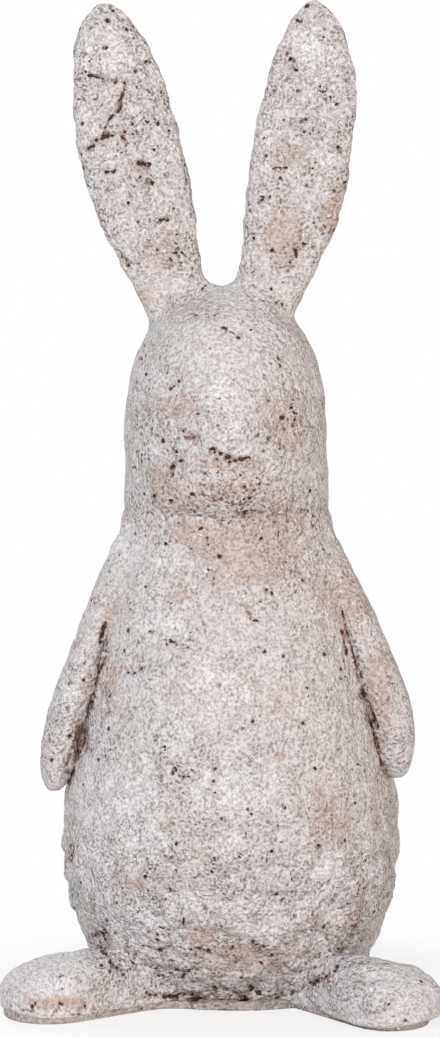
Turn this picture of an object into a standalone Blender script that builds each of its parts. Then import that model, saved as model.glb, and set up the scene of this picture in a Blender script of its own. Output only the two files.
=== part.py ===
"""A standing rabbit figurine in cement mortar, cast in sections that are bedded on steel dowels.

Metres, +Z up. The rabbit faces -Y, so its own left is +X. The origin lies on the floor, at the
centre of the figure's plan.
"""

import math
from bisect import bisect_right

import bmesh
import bpy
from mathutils import Vector

MM = 0.001

# Fits: castings are bedded a hair apart, and steel lies in a bore drilled a little wide.
BED = 0.3 * MM
BORE_CLEARANCE = 0.3 * MM

# The centre line: where it starts on the floor, and how far it leans to the rabbit's right.
AXIS_X = 5.5 * MM
AXIS_Y = 8.9 * MM
LEAN = math.radians(0.7)

# Base slab, which follows the trunk's foot print and both soles.
SLAB_THICKNESS = 4.0 * MM
SLAB_LIP = 5.0 * MM
SOLE_INSET = 1.5 * MM
SLAB_EDGE = 0.8 * MM

# Trunk: a solid egg with a flat foot and a flat neck, deeper in front than behind.
TRUNK_HEIGHT = 209.0 * MM
TRUNK_HALF_WIDTH = 73.3 * MM
TRUNK_FRONT = 63.0 * MM
TRUNK_BACK = 56.0 * MM
# Rows of: share of the height, share of the width, share of the depth.
TRUNK_PROFILE = (
    (0.00, 0.710, 0.600),
    (0.09, 0.880, 0.820),
    (0.20, 0.975, 0.955),
    (0.33, 1.000, 1.000),
    (0.46, 0.962, 0.978),
    (0.63, 0.853, 0.885),
    (0.79, 0.748, 0.770),
    (0.91, 0.660, 0.672),
    (1.00, 0.605, 0.600),
)
TRUNK_RINGS = 20

# Head: an egg that starts at the neck's own outline, with a long low muzzle down the face.
HEAD_HEIGHT = 93.0 * MM
HEAD_HALF_WIDTH = 44.2 * MM
HEAD_FRONT = 45.0 * MM
HEAD_BACK = 38.0 * MM
HEAD_WIDEST = 27.0 * MM
HEAD_SQUARENESS = 2.4
MUZZLE_RISE = 7.0 * MM
MUZZLE_HALF_WIDTH = 22.0 * MM
MUZZLE_HALF_HEIGHT = 30.0 * MM
MUZZLE_DROP = 60.0 * MM
HEAD_RINGS = 16

# Ears: slabs on curved spines that start inside the crown. Tilts are outwards from upright.
EAR_LENGTH = {"left": 140.0 * MM, "right": 141.5 * MM}
EAR_HALF_WIDTH = {"left": 21.6 * MM, "right": 22.2 * MM}
EAR_HALF_THICKNESS = 9.0 * MM
EAR_SQUARENESS = 2.9
EAR_ROOT_SHARE = 0.66
EAR_SWELL_SHARES = (0.04, 0.46)
EAR_WIDEST_SHARE = 0.55
EAR_TIP_THINNING = 0.35
EAR_TIP_SQUARENESS = 2.05
EAR_SPREAD = {"left": 14.2 * MM, "right": 17.2 * MM}
EAR_SET_BACK = 1.0 * MM
EAR_SEAT = 14.0 * MM
EAR_ROOT_TILT = {"left": math.radians(20.4), "right": math.radians(21.2)}
EAR_TIP_TILT = {"left": math.radians(0.0), "right": math.radians(7.2)}
EAR_BACK_LEAN = math.radians(4.0)
EAR_RINGS = 18

# Arms: they lie down the trunk's flanks. The turn is forwards from the rabbit's side. The lift
# shares say where down the arm it starts to stand off, and where it stands off fully.
ARM_TURN = {"left": math.radians(14.0), "right": math.radians(12.0)}
ARM_HALF_WIDTH = {"left": 10.5 * MM, "right": 10.0 * MM}
ARM_HALF_DEPTH = {"left": 13.5 * MM, "right": 13.0 * MM}
ARM_LENGTH = {"left": 104.5 * MM, "right": 110.0 * MM}
SHOULDER_DROP = 13.3 * MM
SHOULDER_SINK = 2.0 * MM
HAND_STANDOFF = {"left": 5.9 * MM, "right": 5.4 * MM}
LIFT_SHARES = {"left": (0.05, 0.68), "right": (0.05, 0.80)}
HAND_CURL = {"left": 2.8 * MM, "right": 0.0 * MM}
CURL_SHARE = 0.75
SHOULDER_SIZE = 0.8
ARM_FULL_SHARE = 0.7
ARM_SQUARENESS = 2.2
ARM_RINGS = 14

# Feet: flat-soled, splayed by a turn forwards from the rabbit's side.
FOOT_TURN = {"left": math.radians(43.5), "right": math.radians(31.5)}
FOOT_HALF_WIDTH = {"left": 21.5 * MM, "right": 20.5 * MM}
FOOT_NARROWING = {"left": 0.50, "right": 0.12}
FOOT_NARROW_REACH = 48.0 * MM
FOOT_HEIGHT = 22.0 * MM
TOE_DROP = {"left": 0.20, "right": 0.35}
FOOT_STANDOUT = {"left": 68.0 * MM, "right": 64.3 * MM}
FOOT_HEEL = 32.0 * MM
FOOT_GIRTH_HEIGHT = 6.0 * MM
FOOT_KEEL = 9.0 * MM
FOOT_SQUARENESS = 2.3
FOOT_RINGS = 14
SOLE_STEPS = 8

TAIL_RADIUS = 18.0 * MM
TAIL_HEIGHT = 50.0 * MM
TAIL_SINK = 5.0 * MM

# Steel: one rod up the neck, one in each ear, and short dowels in the limbs.
NECK_ROD_RADIUS = 4.0 * MM
NECK_ROD_IN_TRUNK = 38.0 * MM
NECK_ROD_IN_HEAD = 42.0 * MM
EAR_ROD_RADIUS = 2.5 * MM
EAR_ROD_IN_HEAD = 26.0 * MM
EAR_ROD_IN_EAR = 84.0 * MM
DOWEL_RADIUS = 2.0 * MM
DOWEL_IN_TRUNK = 9.0 * MM
DOWEL_IN_ARM = 6.5 * MM
DOWEL_IN_FOOT = 18.0 * MM
DOWEL_IN_TAIL = 8.0 * MM
ARM_DOWEL_SHARES = {"upper": 0.34, "lower": 0.72}
FOOT_DOWEL_RISE = 8.7 * MM

SIDES = {"left": 1.0, "right": -1.0}
RING_POINTS = 40
LIMB_POINTS = 24
ROD_POINTS = 16
MERGE = 0.01 * MM

TRUNK_BASE = SLAB_THICKNESS + BED
NECK = TRUNK_BASE + TRUNK_HEIGHT
HEAD_BASE = NECK + BED
CROWN = HEAD_BASE + HEAD_HEIGHT
OUT = Vector((1.0, 0.0, 0.0))
FORWARD = Vector((0.0, -1.0, 0.0))
UP = Vector((0.0, 0.0, 1.0))


def axis_at(height):
    """The point of the leaning centre line at a height above the floor."""
    return Vector((AXIS_X - height * math.tan(LEAN), AXIS_Y, height))


def eased(share):
    """A smooth step from 0 to 1."""
    share = min(max(share, 0.0), 1.0)
    return share * share * (3.0 - 2.0 * share)


def profile_at(profile, share):
    """The values of a profile at a share of its length: a Hermite curve through its rows."""
    share = min(max(share, profile[0][0]), profile[-1][0])
    shares = [row[0] for row in profile]
    i = min(max(bisect_right(shares, share) - 1, 0), len(profile) - 2)
    span = shares[i + 1] - shares[i]
    t = (share - shares[i]) / span

    def slope(row, column):
        before, after = max(row - 1, 0), min(row + 1, len(profile) - 1)
        rise = profile[after][column] - profile[before][column]
        return rise / (shares[after] - shares[before]) * span

    values = []
    for column in range(1, len(profile[0])):
        start, end = profile[i][column], profile[i + 1][column]
        leaving, arriving = slope(i, column), slope(i + 1, column)
        values.append(
            (2 * t**3 - 3 * t**2 + 1) * start
            + (t**3 - 2 * t**2 + t) * leaving
            + (3 * t**2 - 2 * t**3) * end
            + (t**3 - t**2) * arriving
        )
    return values


def ring(centre, side, front, half_side, half_front, half_back, squareness=2.0, count=RING_POINTS):
    """One closed outline: a superellipse whose front and back halves may differ in depth."""
    power = 2.0 / squareness
    points = []
    for i in range(count):
        turn = math.tau * i / count
        across, along = math.cos(turn), math.sin(turn)
        depth = half_front if along > 0 else half_back
        points.append(
            centre
            + side * half_side * math.copysign(abs(across) ** power, across)
            + front * depth * math.copysign(abs(along) ** power, along)
        )
    return points


def new_object(name, mesh, material, collection):
    """An object in its collection, smooth apart from its sharp edges."""
    obj = bpy.data.objects.new(name, mesh)
    mesh.shade_smooth()
    mesh.set_sharp_from_angle(angle=math.radians(40.0))
    if material:
        mesh.materials.append(material)
    collection.objects.link(obj)
    return obj


def loft(name, rings, material, collection):
    """One closed solid through rings of equal count. A ring of no size becomes a pole."""
    build = bmesh.new()
    loops = []
    for points in rings:
        verts = [build.verts.new(point) for point in points]
        loops.append([build.edges.new((verts[i - 1], verts[i])) for i in range(len(verts))])
    for below, above in zip(loops, loops[1:]):
        bmesh.ops.bridge_loops(build, edges=below + above)
    bmesh.ops.remove_doubles(build, verts=build.verts, dist=MERGE)
    bmesh.ops.holes_fill(build, edges=build.edges)
    bmesh.ops.recalc_face_normals(build, faces=build.faces)
    mesh = bpy.data.meshes.new(name)
    build.to_mesh(mesh)
    build.free()
    return new_object(name, mesh, material, collection)


def rod(name, start, end, radius, material, collection):
    """A round bar from start to end."""
    build = bmesh.new()
    bmesh.ops.create_cone(
        build,
        cap_ends=True,
        segments=ROD_POINTS,
        radius1=radius,
        radius2=radius,
        depth=(end - start).length,
    )
    mesh = bpy.data.meshes.new(name)
    build.to_mesh(mesh)
    build.free()
    obj = new_object(name, mesh, material, collection)
    obj.location = (start + end) / 2
    obj.rotation_mode = "QUATERNION"
    obj.rotation_quaternion = (end - start).to_track_quat("Z", "Y")
    return obj


def combine(target, tool, operation="DIFFERENCE"):
    """Cuts the tool from the target, or joins it on."""
    modifier = target.modifiers.new(f"{operation.lower()}_{tool.name}", "BOOLEAN")
    modifier.operation = operation
    modifier.solver = "EXACT"
    modifier.object = tool


def as_cutter(obj):
    """Marks an object as a guide that is not part of the figure."""
    obj.hide_render = True
    obj.display_type = "WIRE"
    return obj


def steel_in(name, start, end, radius, hosts, material, parts, cutters):
    """A bar of steel from start to end, and its bore in each casting that holds it."""
    bar = rod(name, start, end, radius, material, parts)
    reach = (end - start).normalized() * BORE_CLEARANCE
    bore = rod(f"{name}_bore", start - reach, end + reach, radius + BORE_CLEARANCE, None, cutters)
    as_cutter(bore)
    for host in hosts:
        combine(host, bore)
    return bar


def finish(name, colour, roughness, metallic=0.0):
    """A plain finish; the colour is linear red, green and blue."""
    material = bpy.data.materials.new(name)
    material.use_nodes = True
    shader = material.node_tree.nodes["Principled BSDF"]
    shader.inputs["Base Color"].default_value = (*colour, 1.0)
    shader.inputs["Roughness"].default_value = roughness
    shader.inputs["Metallic"].default_value = metallic
    return material


def trunk_sizes(height, grow=0.0):
    """Half width, front depth and back depth of the trunk at a height above the floor."""
    width, depth = profile_at(TRUNK_PROFILE, (height - TRUNK_BASE) / TRUNK_HEIGHT)
    return (
        TRUNK_HALF_WIDTH * width + grow,
        TRUNK_FRONT * depth + grow,
        TRUNK_BACK * depth + grow,
    )


def trunk_rings(bottom, top, grow=0.0):
    """Rings of the trunk from one height to another, set out by the sizes at each height."""
    heights = [bottom + (top - bottom) * i / TRUNK_RINGS for i in range(TRUNK_RINGS + 1)]
    return [ring(axis_at(z), OUT, FORWARD, *trunk_sizes(z, grow)) for z in heights]


def trunk_surface(height, side, turn, standoff=0.0):
    """A point by the trunk's skin at a height, turned forwards from the rabbit's side."""
    half_width, front, _ = trunk_sizes(height, standoff)
    out = OUT * side * half_width * math.cos(turn)
    return axis_at(height) + out + FORWARD * front * math.sin(turn)


def head_sizes(height):
    """Half width, front depth and back depth of the head at a height above the floor."""
    neck = trunk_sizes(NECK)
    widest = (HEAD_HALF_WIDTH, HEAD_FRONT, HEAD_BACK)
    above = height - HEAD_BASE - HEAD_WIDEST
    if above <= 0.0:
        swell = math.sin(math.pi / 2 * max(0.0, 1.0 + above / HEAD_WIDEST))
        return [low + (high - low) * swell for low, high in zip(neck, widest)]
    share = min(above / (HEAD_HEIGHT - HEAD_WIDEST), 1.0)
    closing = (1.0 - share**HEAD_SQUARENESS) ** (1.0 / HEAD_SQUARENESS)
    return [size * closing for size in widest]


def with_muzzle(point, centre):
    """Moves a point of the face forwards by the muzzle's rise, which fades to nothing round it."""
    if (point - centre).dot(FORWARD) <= 0.0:
        return point
    across = (point.x - centre.x) / MUZZLE_HALF_WIDTH
    down = (point.z - (CROWN - MUZZLE_DROP)) / MUZZLE_HALF_HEIGHT
    return point + FORWARD * MUZZLE_RISE * math.exp(-(across**2) - down**4)


def head_rings(grow=0.0):
    """Rings of the head from the neck to the pole at its crown, all set out by grow."""
    rings = []
    for i in range(HEAD_RINGS + 1):
        height = HEAD_BASE + HEAD_HEIGHT * math.sin(math.pi / 2 * i / HEAD_RINGS)
        lifted = height + grow * math.sin(math.pi / 2 * i / HEAD_RINGS)
        centre = axis_at(lifted)
        sizes = [size + (grow if i < HEAD_RINGS else 0.0) for size in head_sizes(height)]
        outline = ring(centre, OUT, FORWARD, *sizes)
        rings.append([with_muzzle(point, centre) for point in outline])
    return rings


def ear_frame(side, share):
    """A point of the ear's curved spine, with the directions across the ear and forwards."""
    sign, root_tilt, tip_tilt = SIDES[side], EAR_ROOT_TILT[side], EAR_TIP_TILT[side]
    length, spread = EAR_LENGTH[side], EAR_SPREAD[side]
    tilt = root_tilt + (tip_tilt - root_tilt) * share
    bend = tip_tilt - root_tilt
    rise = UP * math.cos(EAR_BACK_LEAN) - FORWARD * math.sin(EAR_BACK_LEAN)
    root = axis_at(CROWN - EAR_SEAT) + OUT * sign * spread - FORWARD * EAR_SET_BACK
    sideways = length * (math.cos(root_tilt) - math.cos(tilt)) / bend
    upwards = length * (math.sin(tilt) - math.sin(root_tilt)) / bend
    across = OUT * sign * math.cos(tilt) - rise * math.sin(tilt)
    front = FORWARD * math.cos(EAR_BACK_LEAN) + UP * math.sin(EAR_BACK_LEAN)
    return root + OUT * sign * sideways + rise * upwards, across, front


def ear_rings(side):
    """Rings of one ear: it swells from the root, then rounds off to a pole at the tip."""
    rings = []
    for i in range(EAR_RINGS + 1):
        share = math.sin(math.pi / 2 * i / EAR_RINGS)
        centre, across, front = ear_frame(side, share)
        past = max(0.0, (share - EAR_WIDEST_SHARE) / (1.0 - EAR_WIDEST_SHARE))
        closing = max(0.0, 1.0 - past**EAR_TIP_SQUARENESS) ** (1.0 / EAR_TIP_SQUARENESS)
        start, end = EAR_SWELL_SHARES
        swell = EAR_ROOT_SHARE + (1.0 - EAR_ROOT_SHARE) * eased((share - start) / (end - start))
        width = EAR_HALF_WIDTH[side] * swell * closing
        thickness = EAR_HALF_THICKNESS * (1.0 - EAR_TIP_THINNING * share) * closing**0.6
        rings.append(
            ring(centre, across, front, width, thickness, thickness, EAR_SQUARENESS, LIMB_POINTS)
        )
    return rings


def arm_centre(side, share):
    """A point of the arm's spine: it starts inside the shoulder and stands off at the hand."""
    height = NECK - SHOULDER_DROP - ARM_LENGTH[side] * share
    start, end = LIFT_SHARES[side]
    lift = eased((share - start) / (end - start))
    standoff = -SHOULDER_SINK + (SHOULDER_SINK + HAND_STANDOFF[side]) * lift
    standoff -= HAND_CURL[side] * eased((share - CURL_SHARE) / (1.0 - CURL_SHARE))
    return trunk_surface(height, SIDES[side], ARM_TURN[side], standoff)


def arm_rings(side):
    """Rings of one arm, level all the way down, with a rounded shoulder and hand."""
    rings = []
    for i in range(ARM_RINGS + 1):
        share = (1.0 - math.cos(math.pi * i / ARM_RINGS)) / 2
        closing = math.sqrt(max(0.0, 1.0 - abs(2 * share - 1.0) ** 4.5))
        size = closing * (SHOULDER_SIZE + (1.0 - SHOULDER_SIZE) * eased(share / ARM_FULL_SHARE))
        width, depth = ARM_HALF_WIDTH[side] * size, ARM_HALF_DEPTH[side] * size
        centre = arm_centre(side, share)
        rings.append(ring(centre, OUT, FORWARD, width, depth, depth, ARM_SQUARENESS, LIMB_POINTS))
    return rings


def foot_direction(side):
    """The level direction in which a foot points."""
    turn = FOOT_TURN[side]
    return OUT * SIDES[side] * math.cos(turn) + FORWARD * math.sin(turn)


def foot_length(side):
    """From the centre line to the tip of the toes."""
    skin = trunk_surface(TRUNK_BASE, SIDES[side], FOOT_TURN[side]) - axis_at(TRUNK_BASE)
    return skin.length + FOOT_STANDOUT[side]


def foot_half_width(side, reach):
    """Half the width of a foot at a distance from the centre line: it widens towards the toes."""
    toe = foot_length(side) - FOOT_HALF_WIDTH[side]
    share = eased((reach - FOOT_NARROW_REACH) / (toe - FOOT_NARROW_REACH))
    return FOOT_HALF_WIDTH[side] * (1.0 - FOOT_NARROWING[side] * (1.0 - share))


def foot_rings(side):
    """Rings of one foot, upright across its length, from the heel to a pole at the toes.

    The slab cuts the round keel off flat, which makes the sole.
    """
    forward = foot_direction(side)
    across = forward.cross(UP)
    girth = TRUNK_BASE + FOOT_GIRTH_HEIGHT
    length, end = foot_length(side), FOOT_HALF_WIDTH[side]
    rings = []
    for i in range(FOOT_RINGS + 1):
        reach = FOOT_HEEL + (length - FOOT_HEEL) * math.sin(math.pi / 2 * i / FOOT_RINGS)
        past = max(0.0, (reach - (length - end)) / end)
        closing = math.sqrt(max(0.0, 1.0 - past * past))
        drop = 1.0 - TOE_DROP[side] * eased((reach - (length - 2 * end)) / (2 * end))
        width = foot_half_width(side, reach) * closing
        top = (FOOT_HEIGHT - FOOT_GIRTH_HEIGHT) * drop * closing**1.2
        centre = axis_at(girth) + forward * reach
        keel = FOOT_KEEL * closing**0.4
        outline = ring(centre, across, UP, width, top, keel, FOOT_SQUARENESS, LIMB_POINTS)
        rings.append([Vector((p.x, p.y, max(p.z, TRUNK_BASE))) for p in outline])
    return rings


def plate(name, outline, bottom, top, material, collection):
    """A flat plate between two heights: a filled curve, extruded and made a mesh."""
    curve = bpy.data.curves.new(name, "CURVE")
    curve.dimensions = "2D"
    curve.fill_mode = "BOTH"
    curve.extrude = (top - bottom) / 2
    spline = curve.splines.new("POLY")
    spline.points.add(len(outline) - 1)
    for point, place in zip(spline.points, outline):
        point.co = (place.x, place.y, 0.0, 1.0)
    spline.use_cyclic_u = True
    shape = bpy.data.objects.new(f"{name}_outline", curve)
    shape.location = (0.0, 0.0, (top + bottom) / 2)
    collection.objects.link(shape)
    bpy.context.view_layer.update()
    graph = bpy.context.evaluated_depsgraph_get()
    mesh = bpy.data.meshes.new_from_object(shape.evaluated_get(graph))
    place = shape.matrix_world.copy()
    bpy.data.objects.remove(shape)
    build = bmesh.new()
    build.from_mesh(mesh)
    bmesh.ops.remove_doubles(build, verts=build.verts, dist=MERGE)
    bmesh.ops.recalc_face_normals(build, faces=build.faces)
    build.to_mesh(mesh)
    build.free()
    obj = new_object(name, mesh, material, collection)
    obj.matrix_world = place
    return obj


def sole_outline(side):
    """The plan of the slab under one foot, inside the foot's own edge."""
    forward = foot_direction(side)
    across = forward.cross(UP)
    toe = foot_length(side) - FOOT_HALF_WIDTH[side]
    reaches = [toe * i / SOLE_STEPS for i in range(SOLE_STEPS)]
    widths = [foot_half_width(side, reach) - SOLE_INSET for reach in reaches]
    radius = FOOT_HALF_WIDTH[side] - SOLE_INSET
    points = [axis_at(0.0) + forward * r + across * w for r, w in zip(reaches, widths)]
    for i in range(LIMB_POINTS + 1):
        turn = math.pi * i / LIMB_POINTS
        end = axis_at(0.0) + forward * (toe + radius * math.sin(turn))
        points.append(end + across * radius * math.cos(turn))
    points += [axis_at(0.0) + forward * r - across * w for r, w in zip(reaches, widths)][::-1]
    return points


def build_slab(material, parts, cutters):
    """The base slab: the trunk's foot print with a lip, and both soles."""
    print_outline = ring(axis_at(0.0), OUT, FORWARD, *trunk_sizes(TRUNK_BASE, SLAB_LIP))
    slab = plate("base_slab", print_outline, 0.0, SLAB_THICKNESS, material, parts)
    for side in SIDES:
        sole = plate(f"sole_{side}", sole_outline(side), 0.0, SLAB_THICKNESS, None, cutters)
        combine(slab, as_cutter(sole), "UNION")
    bevel = slab.modifiers.new("worn_edge", "BEVEL")
    bevel.width = SLAB_EDGE
    bevel.segments = 1
    bevel.limit_method = "ANGLE"
    bevel.angle_limit = math.radians(60.0)
    return slab


def build_tail(material, parts, bed):
    """The round tail, seated against the trunk's back."""
    _, _, back = trunk_sizes(TAIL_HEIGHT)
    build = bmesh.new()
    bmesh.ops.create_uvsphere(build, u_segments=LIMB_POINTS, v_segments=12, radius=TAIL_RADIUS)
    mesh = bpy.data.meshes.new("tail")
    build.to_mesh(mesh)
    build.free()
    tail = new_object("tail", mesh, material, parts)
    tail.location = axis_at(TAIL_HEIGHT) - FORWARD * (back - TAIL_SINK)
    combine(tail, bed)
    return tail


def build_limbs(finishes, parts, trunk_bed, head_bed):
    """Both ears, arms and feet, each cut to the casting that it is bedded on."""
    limbs = {}
    for side in SIDES:
        for kind, rings, bed in (
            ("ear", ear_rings(side), head_bed),
            ("arm", arm_rings(side), trunk_bed),
            ("foot", foot_rings(side), trunk_bed),
        ):
            name = f"{kind}_{side}"
            limbs[name] = loft(name, rings, finishes[kind], parts)
            combine(limbs[name], bed)
    return limbs


def build_steel(castings, material, parts, cutters):
    """The neck rod, the ear rods and the dowels, with their bores."""
    trunk, head = castings["trunk"], castings["head"]
    low, high = axis_at(NECK - NECK_ROD_IN_TRUNK), axis_at(NECK + NECK_ROD_IN_HEAD)
    steel_in("neck_rod", low, high, NECK_ROD_RADIUS, (trunk, head), material, parts, cutters)
    for side in SIDES:
        root = ear_frame(side, 0.0)[0]
        middle = ear_frame(side, EAR_ROD_IN_EAR / EAR_LENGTH[side])[0]
        line = (middle - root).normalized()
        ear = castings[f"ear_{side}"]
        ends = root - line * EAR_ROD_IN_HEAD, root + line * EAR_ROD_IN_EAR
        steel_in(f"ear_rod_{side}", *ends, EAR_ROD_RADIUS, (head, ear), material, parts, cutters)
        outwards = OUT * SIDES[side] * math.cos(ARM_TURN[side]) + FORWARD * math.sin(ARM_TURN[side])
        for place, share in ARM_DOWEL_SHARES.items():
            skin = trunk_surface(arm_centre(side, share).z, SIDES[side], ARM_TURN[side])
            ends = skin - outwards * DOWEL_IN_TRUNK, skin + outwards * DOWEL_IN_ARM
            hosts = (trunk, castings[f"arm_{side}"])
            name = f"arm_dowel_{side}_{place}"
            steel_in(name, *ends, DOWEL_RADIUS, hosts, material, parts, cutters)
        forward = foot_direction(side)
        skin = trunk_surface(TRUNK_BASE + FOOT_DOWEL_RISE, SIDES[side], FOOT_TURN[side])
        ends = skin - forward * DOWEL_IN_TRUNK, skin + forward * DOWEL_IN_FOOT
        hosts = (trunk, castings[f"foot_{side}"])
        steel_in(f"foot_dowel_{side}", *ends, DOWEL_RADIUS, hosts, material, parts, cutters)
    skin = axis_at(TAIL_HEIGHT) - FORWARD * trunk_sizes(TAIL_HEIGHT)[2]
    ends = skin + FORWARD * DOWEL_IN_TRUNK, skin - FORWARD * DOWEL_IN_TAIL
    hosts = (trunk, castings["tail"])
    steel_in("tail_dowel", *ends, DOWEL_RADIUS, hosts, material, parts, cutters)


def main():
    """Builds the figure in a scene of its own."""
    for obj in list(bpy.data.objects):
        bpy.data.objects.remove(obj)
    parts = bpy.data.collections.new("rabbit_figurine")
    cutters = bpy.data.collections.new("cutters")
    for collection in (parts, cutters):
        bpy.context.scene.collection.children.link(collection)

    finishes = {
        "body": finish("mortar_body", (0.56, 0.52, 0.49), 0.92),
        "ear": finish("mortar_ear", (0.54, 0.49, 0.46), 0.94),
        "arm": finish("mortar_arm", (0.55, 0.51, 0.49), 0.92),
        "foot": finish("mortar_foot", (0.58, 0.55, 0.53), 0.92),
        "slab": finish("mortar_slab", (0.50, 0.48, 0.46), 0.85),
    }
    steel = finish("plain_steel", (0.35, 0.34, 0.33), 0.5, 1.0)

    castings = {
        "base_slab": build_slab(finishes["slab"], parts, cutters),
        "trunk": loft("trunk", trunk_rings(TRUNK_BASE, NECK), finishes["body"], parts),
        "head": loft("head", head_rings(), finishes["body"], parts),
    }
    trunk_bed = as_cutter(loft("trunk_bed", trunk_rings(TRUNK_BASE, NECK, BED), None, cutters))
    head_bed = as_cutter(loft("head_bed", head_rings(BED), None, cutters))
    castings["tail"] = build_tail(finishes["body"], parts, trunk_bed)
    castings.update(build_limbs(finishes, parts, trunk_bed, head_bed))
    build_steel(castings, steel, parts, cutters)


main()
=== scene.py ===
"""Looks for a standing rabbit figurine, cast in rough pitted cement mortar.

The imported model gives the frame. Each casting is worked out again as a surface on a grid: its cast
form from the same sizes as the CAD part, a fillet of mortar where it runs into its neighbour, and
then the relief that the mould and the weather left. Sizes are in millimetres until a mesh is made.
The rabbit faces -Y, so its own left is +X.
"""

import logging
import math
from dataclasses import dataclass, field
from enum import Enum
from functools import partial
from typing import Callable, Iterator, Sequence

import bpy
import numpy as np
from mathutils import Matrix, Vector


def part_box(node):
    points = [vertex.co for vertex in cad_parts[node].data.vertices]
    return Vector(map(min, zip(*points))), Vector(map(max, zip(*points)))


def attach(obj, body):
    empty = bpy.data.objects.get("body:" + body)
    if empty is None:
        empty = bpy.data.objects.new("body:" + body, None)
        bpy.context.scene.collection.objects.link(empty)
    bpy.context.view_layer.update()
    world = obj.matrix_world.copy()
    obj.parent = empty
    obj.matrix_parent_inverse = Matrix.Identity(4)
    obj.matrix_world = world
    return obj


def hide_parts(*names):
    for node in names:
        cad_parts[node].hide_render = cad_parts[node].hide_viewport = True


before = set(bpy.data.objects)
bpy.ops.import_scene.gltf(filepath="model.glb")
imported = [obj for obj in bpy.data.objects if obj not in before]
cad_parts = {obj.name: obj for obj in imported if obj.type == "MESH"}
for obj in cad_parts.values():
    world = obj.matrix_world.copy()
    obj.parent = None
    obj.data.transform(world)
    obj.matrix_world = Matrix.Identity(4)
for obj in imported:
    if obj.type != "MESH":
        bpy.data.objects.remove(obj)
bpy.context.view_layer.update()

LOG = logging.getLogger("rabbit_figurine")
MM = 0.001
Array = np.ndarray
Rgba = tuple[float, float, float, float]
Pair = tuple[float, float]
Triple = tuple[float, float, float]
Pairs = tuple[Pair, Pair]
# The columns and the rows at which points show in the photograph.
Places = tuple[Array, Array]
Patch = tuple[float, float, float, float, float]
Rays = tuple[Array, Array]
SizeAt = Callable[[Array], Array]
AddNode = Callable[..., bpy.types.Node]
Patterns = dict[str, object]

OUT = np.array((1.0, 0.0, 0.0))
FORWARD = np.array((0.0, -1.0, 0.0))
UP = np.array((0.0, 0.0, 1.0))

# Heights that several castings share, as in the CAD part.
TRUNK_BASE = 4.3
NECK = 213.3
HEAD_BASE = 213.6
CROWN = 306.6

# How often a ray's reach is halved to find a surface, which leaves less than a thousandth of a mm.
HALVINGS = 17
# The squareness of a superellipse that is a plain ellipse.
ELLIPSE = 2.0


class Side(Enum):
    """The rabbit's own sides. The value is the sign of X."""

    LEFT = 1.0
    RIGHT = -1.0


def eased(share: Array | float) -> Array:
    """A smooth step from 0 to 1: 3s² - 2s³ for a share s between 0 and 1."""
    share = np.clip(share, 0.0, 1.0)
    return share * share * (3.0 - 2.0 * share)


def between(value: Array, start: float, end: float) -> Array:
    """The eased share of the way from start to end; end may be the lower one."""
    return eased((value - start) / (end - start))


def dot(a: Array, b: Array) -> Array:
    """The dot products of two arrays of vectors."""
    return (a * b).sum(-1)


def unit(vectors: Array) -> Array:
    """Vectors brought to length 1."""
    return vectors / np.maximum(np.linalg.norm(vectors, axis=-1, keepdims=True), 1e-9)


@dataclass(frozen=True)
class CentreLine:
    """The figure's centre line, which leans to the rabbit's right."""

    x: float = 5.5
    y: float = 8.9
    lean: float = math.radians(0.7)

    def at(self, height: Array | float) -> Array:
        """Points of the line at heights above the floor.

        Args:
            height: heights above the floor.

        Returns:
            The points.
        """
        height = np.asarray(height, float)
        across = self.x - height * math.tan(self.lean)
        return np.stack([across, np.full_like(height, self.y), height], -1)


LINE = CentreLine()


def hermite(rows: Sequence[Sequence[float]], share: Array) -> list[Array]:
    """A cubic Hermite curve through the rows of a profile.

    Args:
        rows: each a share of the length, then the values there.
        share: the shares at which the values are wanted.

    Returns:
        One array for each column of values.
    """
    table = np.array(rows)
    at, values = table[:, 0], table[:, 1:]
    before = np.maximum(np.arange(len(at)) - 1, 0)
    after = np.minimum(np.arange(len(at)) + 1, len(at) - 1)
    slopes = (values[after] - values[before]) / (at[after] - at[before])[:, None]
    share = np.clip(share, at[0], at[-1])
    i = np.clip(np.searchsorted(at, share, "right") - 1, 0, len(at) - 2)
    span = at[i + 1] - at[i]
    t = (share - at[i]) / span
    start, end = 2 * t**3 - 3 * t**2 + 1, 3 * t**2 - 2 * t**3
    leaving, arriving = (t**3 - 2 * t**2 + t) * span, (t**3 - t**2) * span
    return [
        start * values[i, c] + leaving * slopes[i, c] + end * values[i + 1, c] + arriving * slopes[i + 1, c]
        for c in range(values.shape[1])
    ]


def crowded(even: Array, plain: float, bent: float) -> Array:
    """Even shares that draw closer together towards 1: plain of them, and bent of their sine."""
    return plain * even + bent * np.sin(math.pi / 2 * even)


def outline(
    count: int, half_side: float, half_front: float, half_back: float,
    squareness: float = ELLIPSE, front_share: float = 1.0,
) -> Array:
    """Unit points (side, front) of a superellipse |side|^n + |front|^n = 1, set out along its arc.

    The points are spaced evenly along the outline at its real size, and closer in front by
    front_share.

    Args:
        count: how many points.
        half_side: half the width.
        half_front: the depth in front.
        half_back: the depth behind.
        squareness: the power n.
        front_share: how many times closer the points lie in front than behind.

    Returns:
        An array of count rows.
    """
    turn = np.linspace(0.0, math.tau, 8001)
    power = 2.0 / squareness
    side = np.sign(np.cos(turn)) * np.abs(np.cos(turn)) ** power
    front = np.sign(np.sin(turn)) * np.abs(np.sin(turn)) ** power
    depth = np.where(front > 0, half_front, half_back)
    steps = np.hypot(np.diff(side * half_side), np.diff(front * depth))
    steps *= 1.0 + (front_share - 1.0) * between((front[1:] + front[:-1]) / 2, -0.45, 0.15)
    along = np.concatenate([[0.0], np.cumsum(steps)])
    wanted = np.arange(count) / count * along[-1]
    return np.stack([np.interp(wanted, along, side), np.interp(wanted, along, front)], -1)


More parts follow.
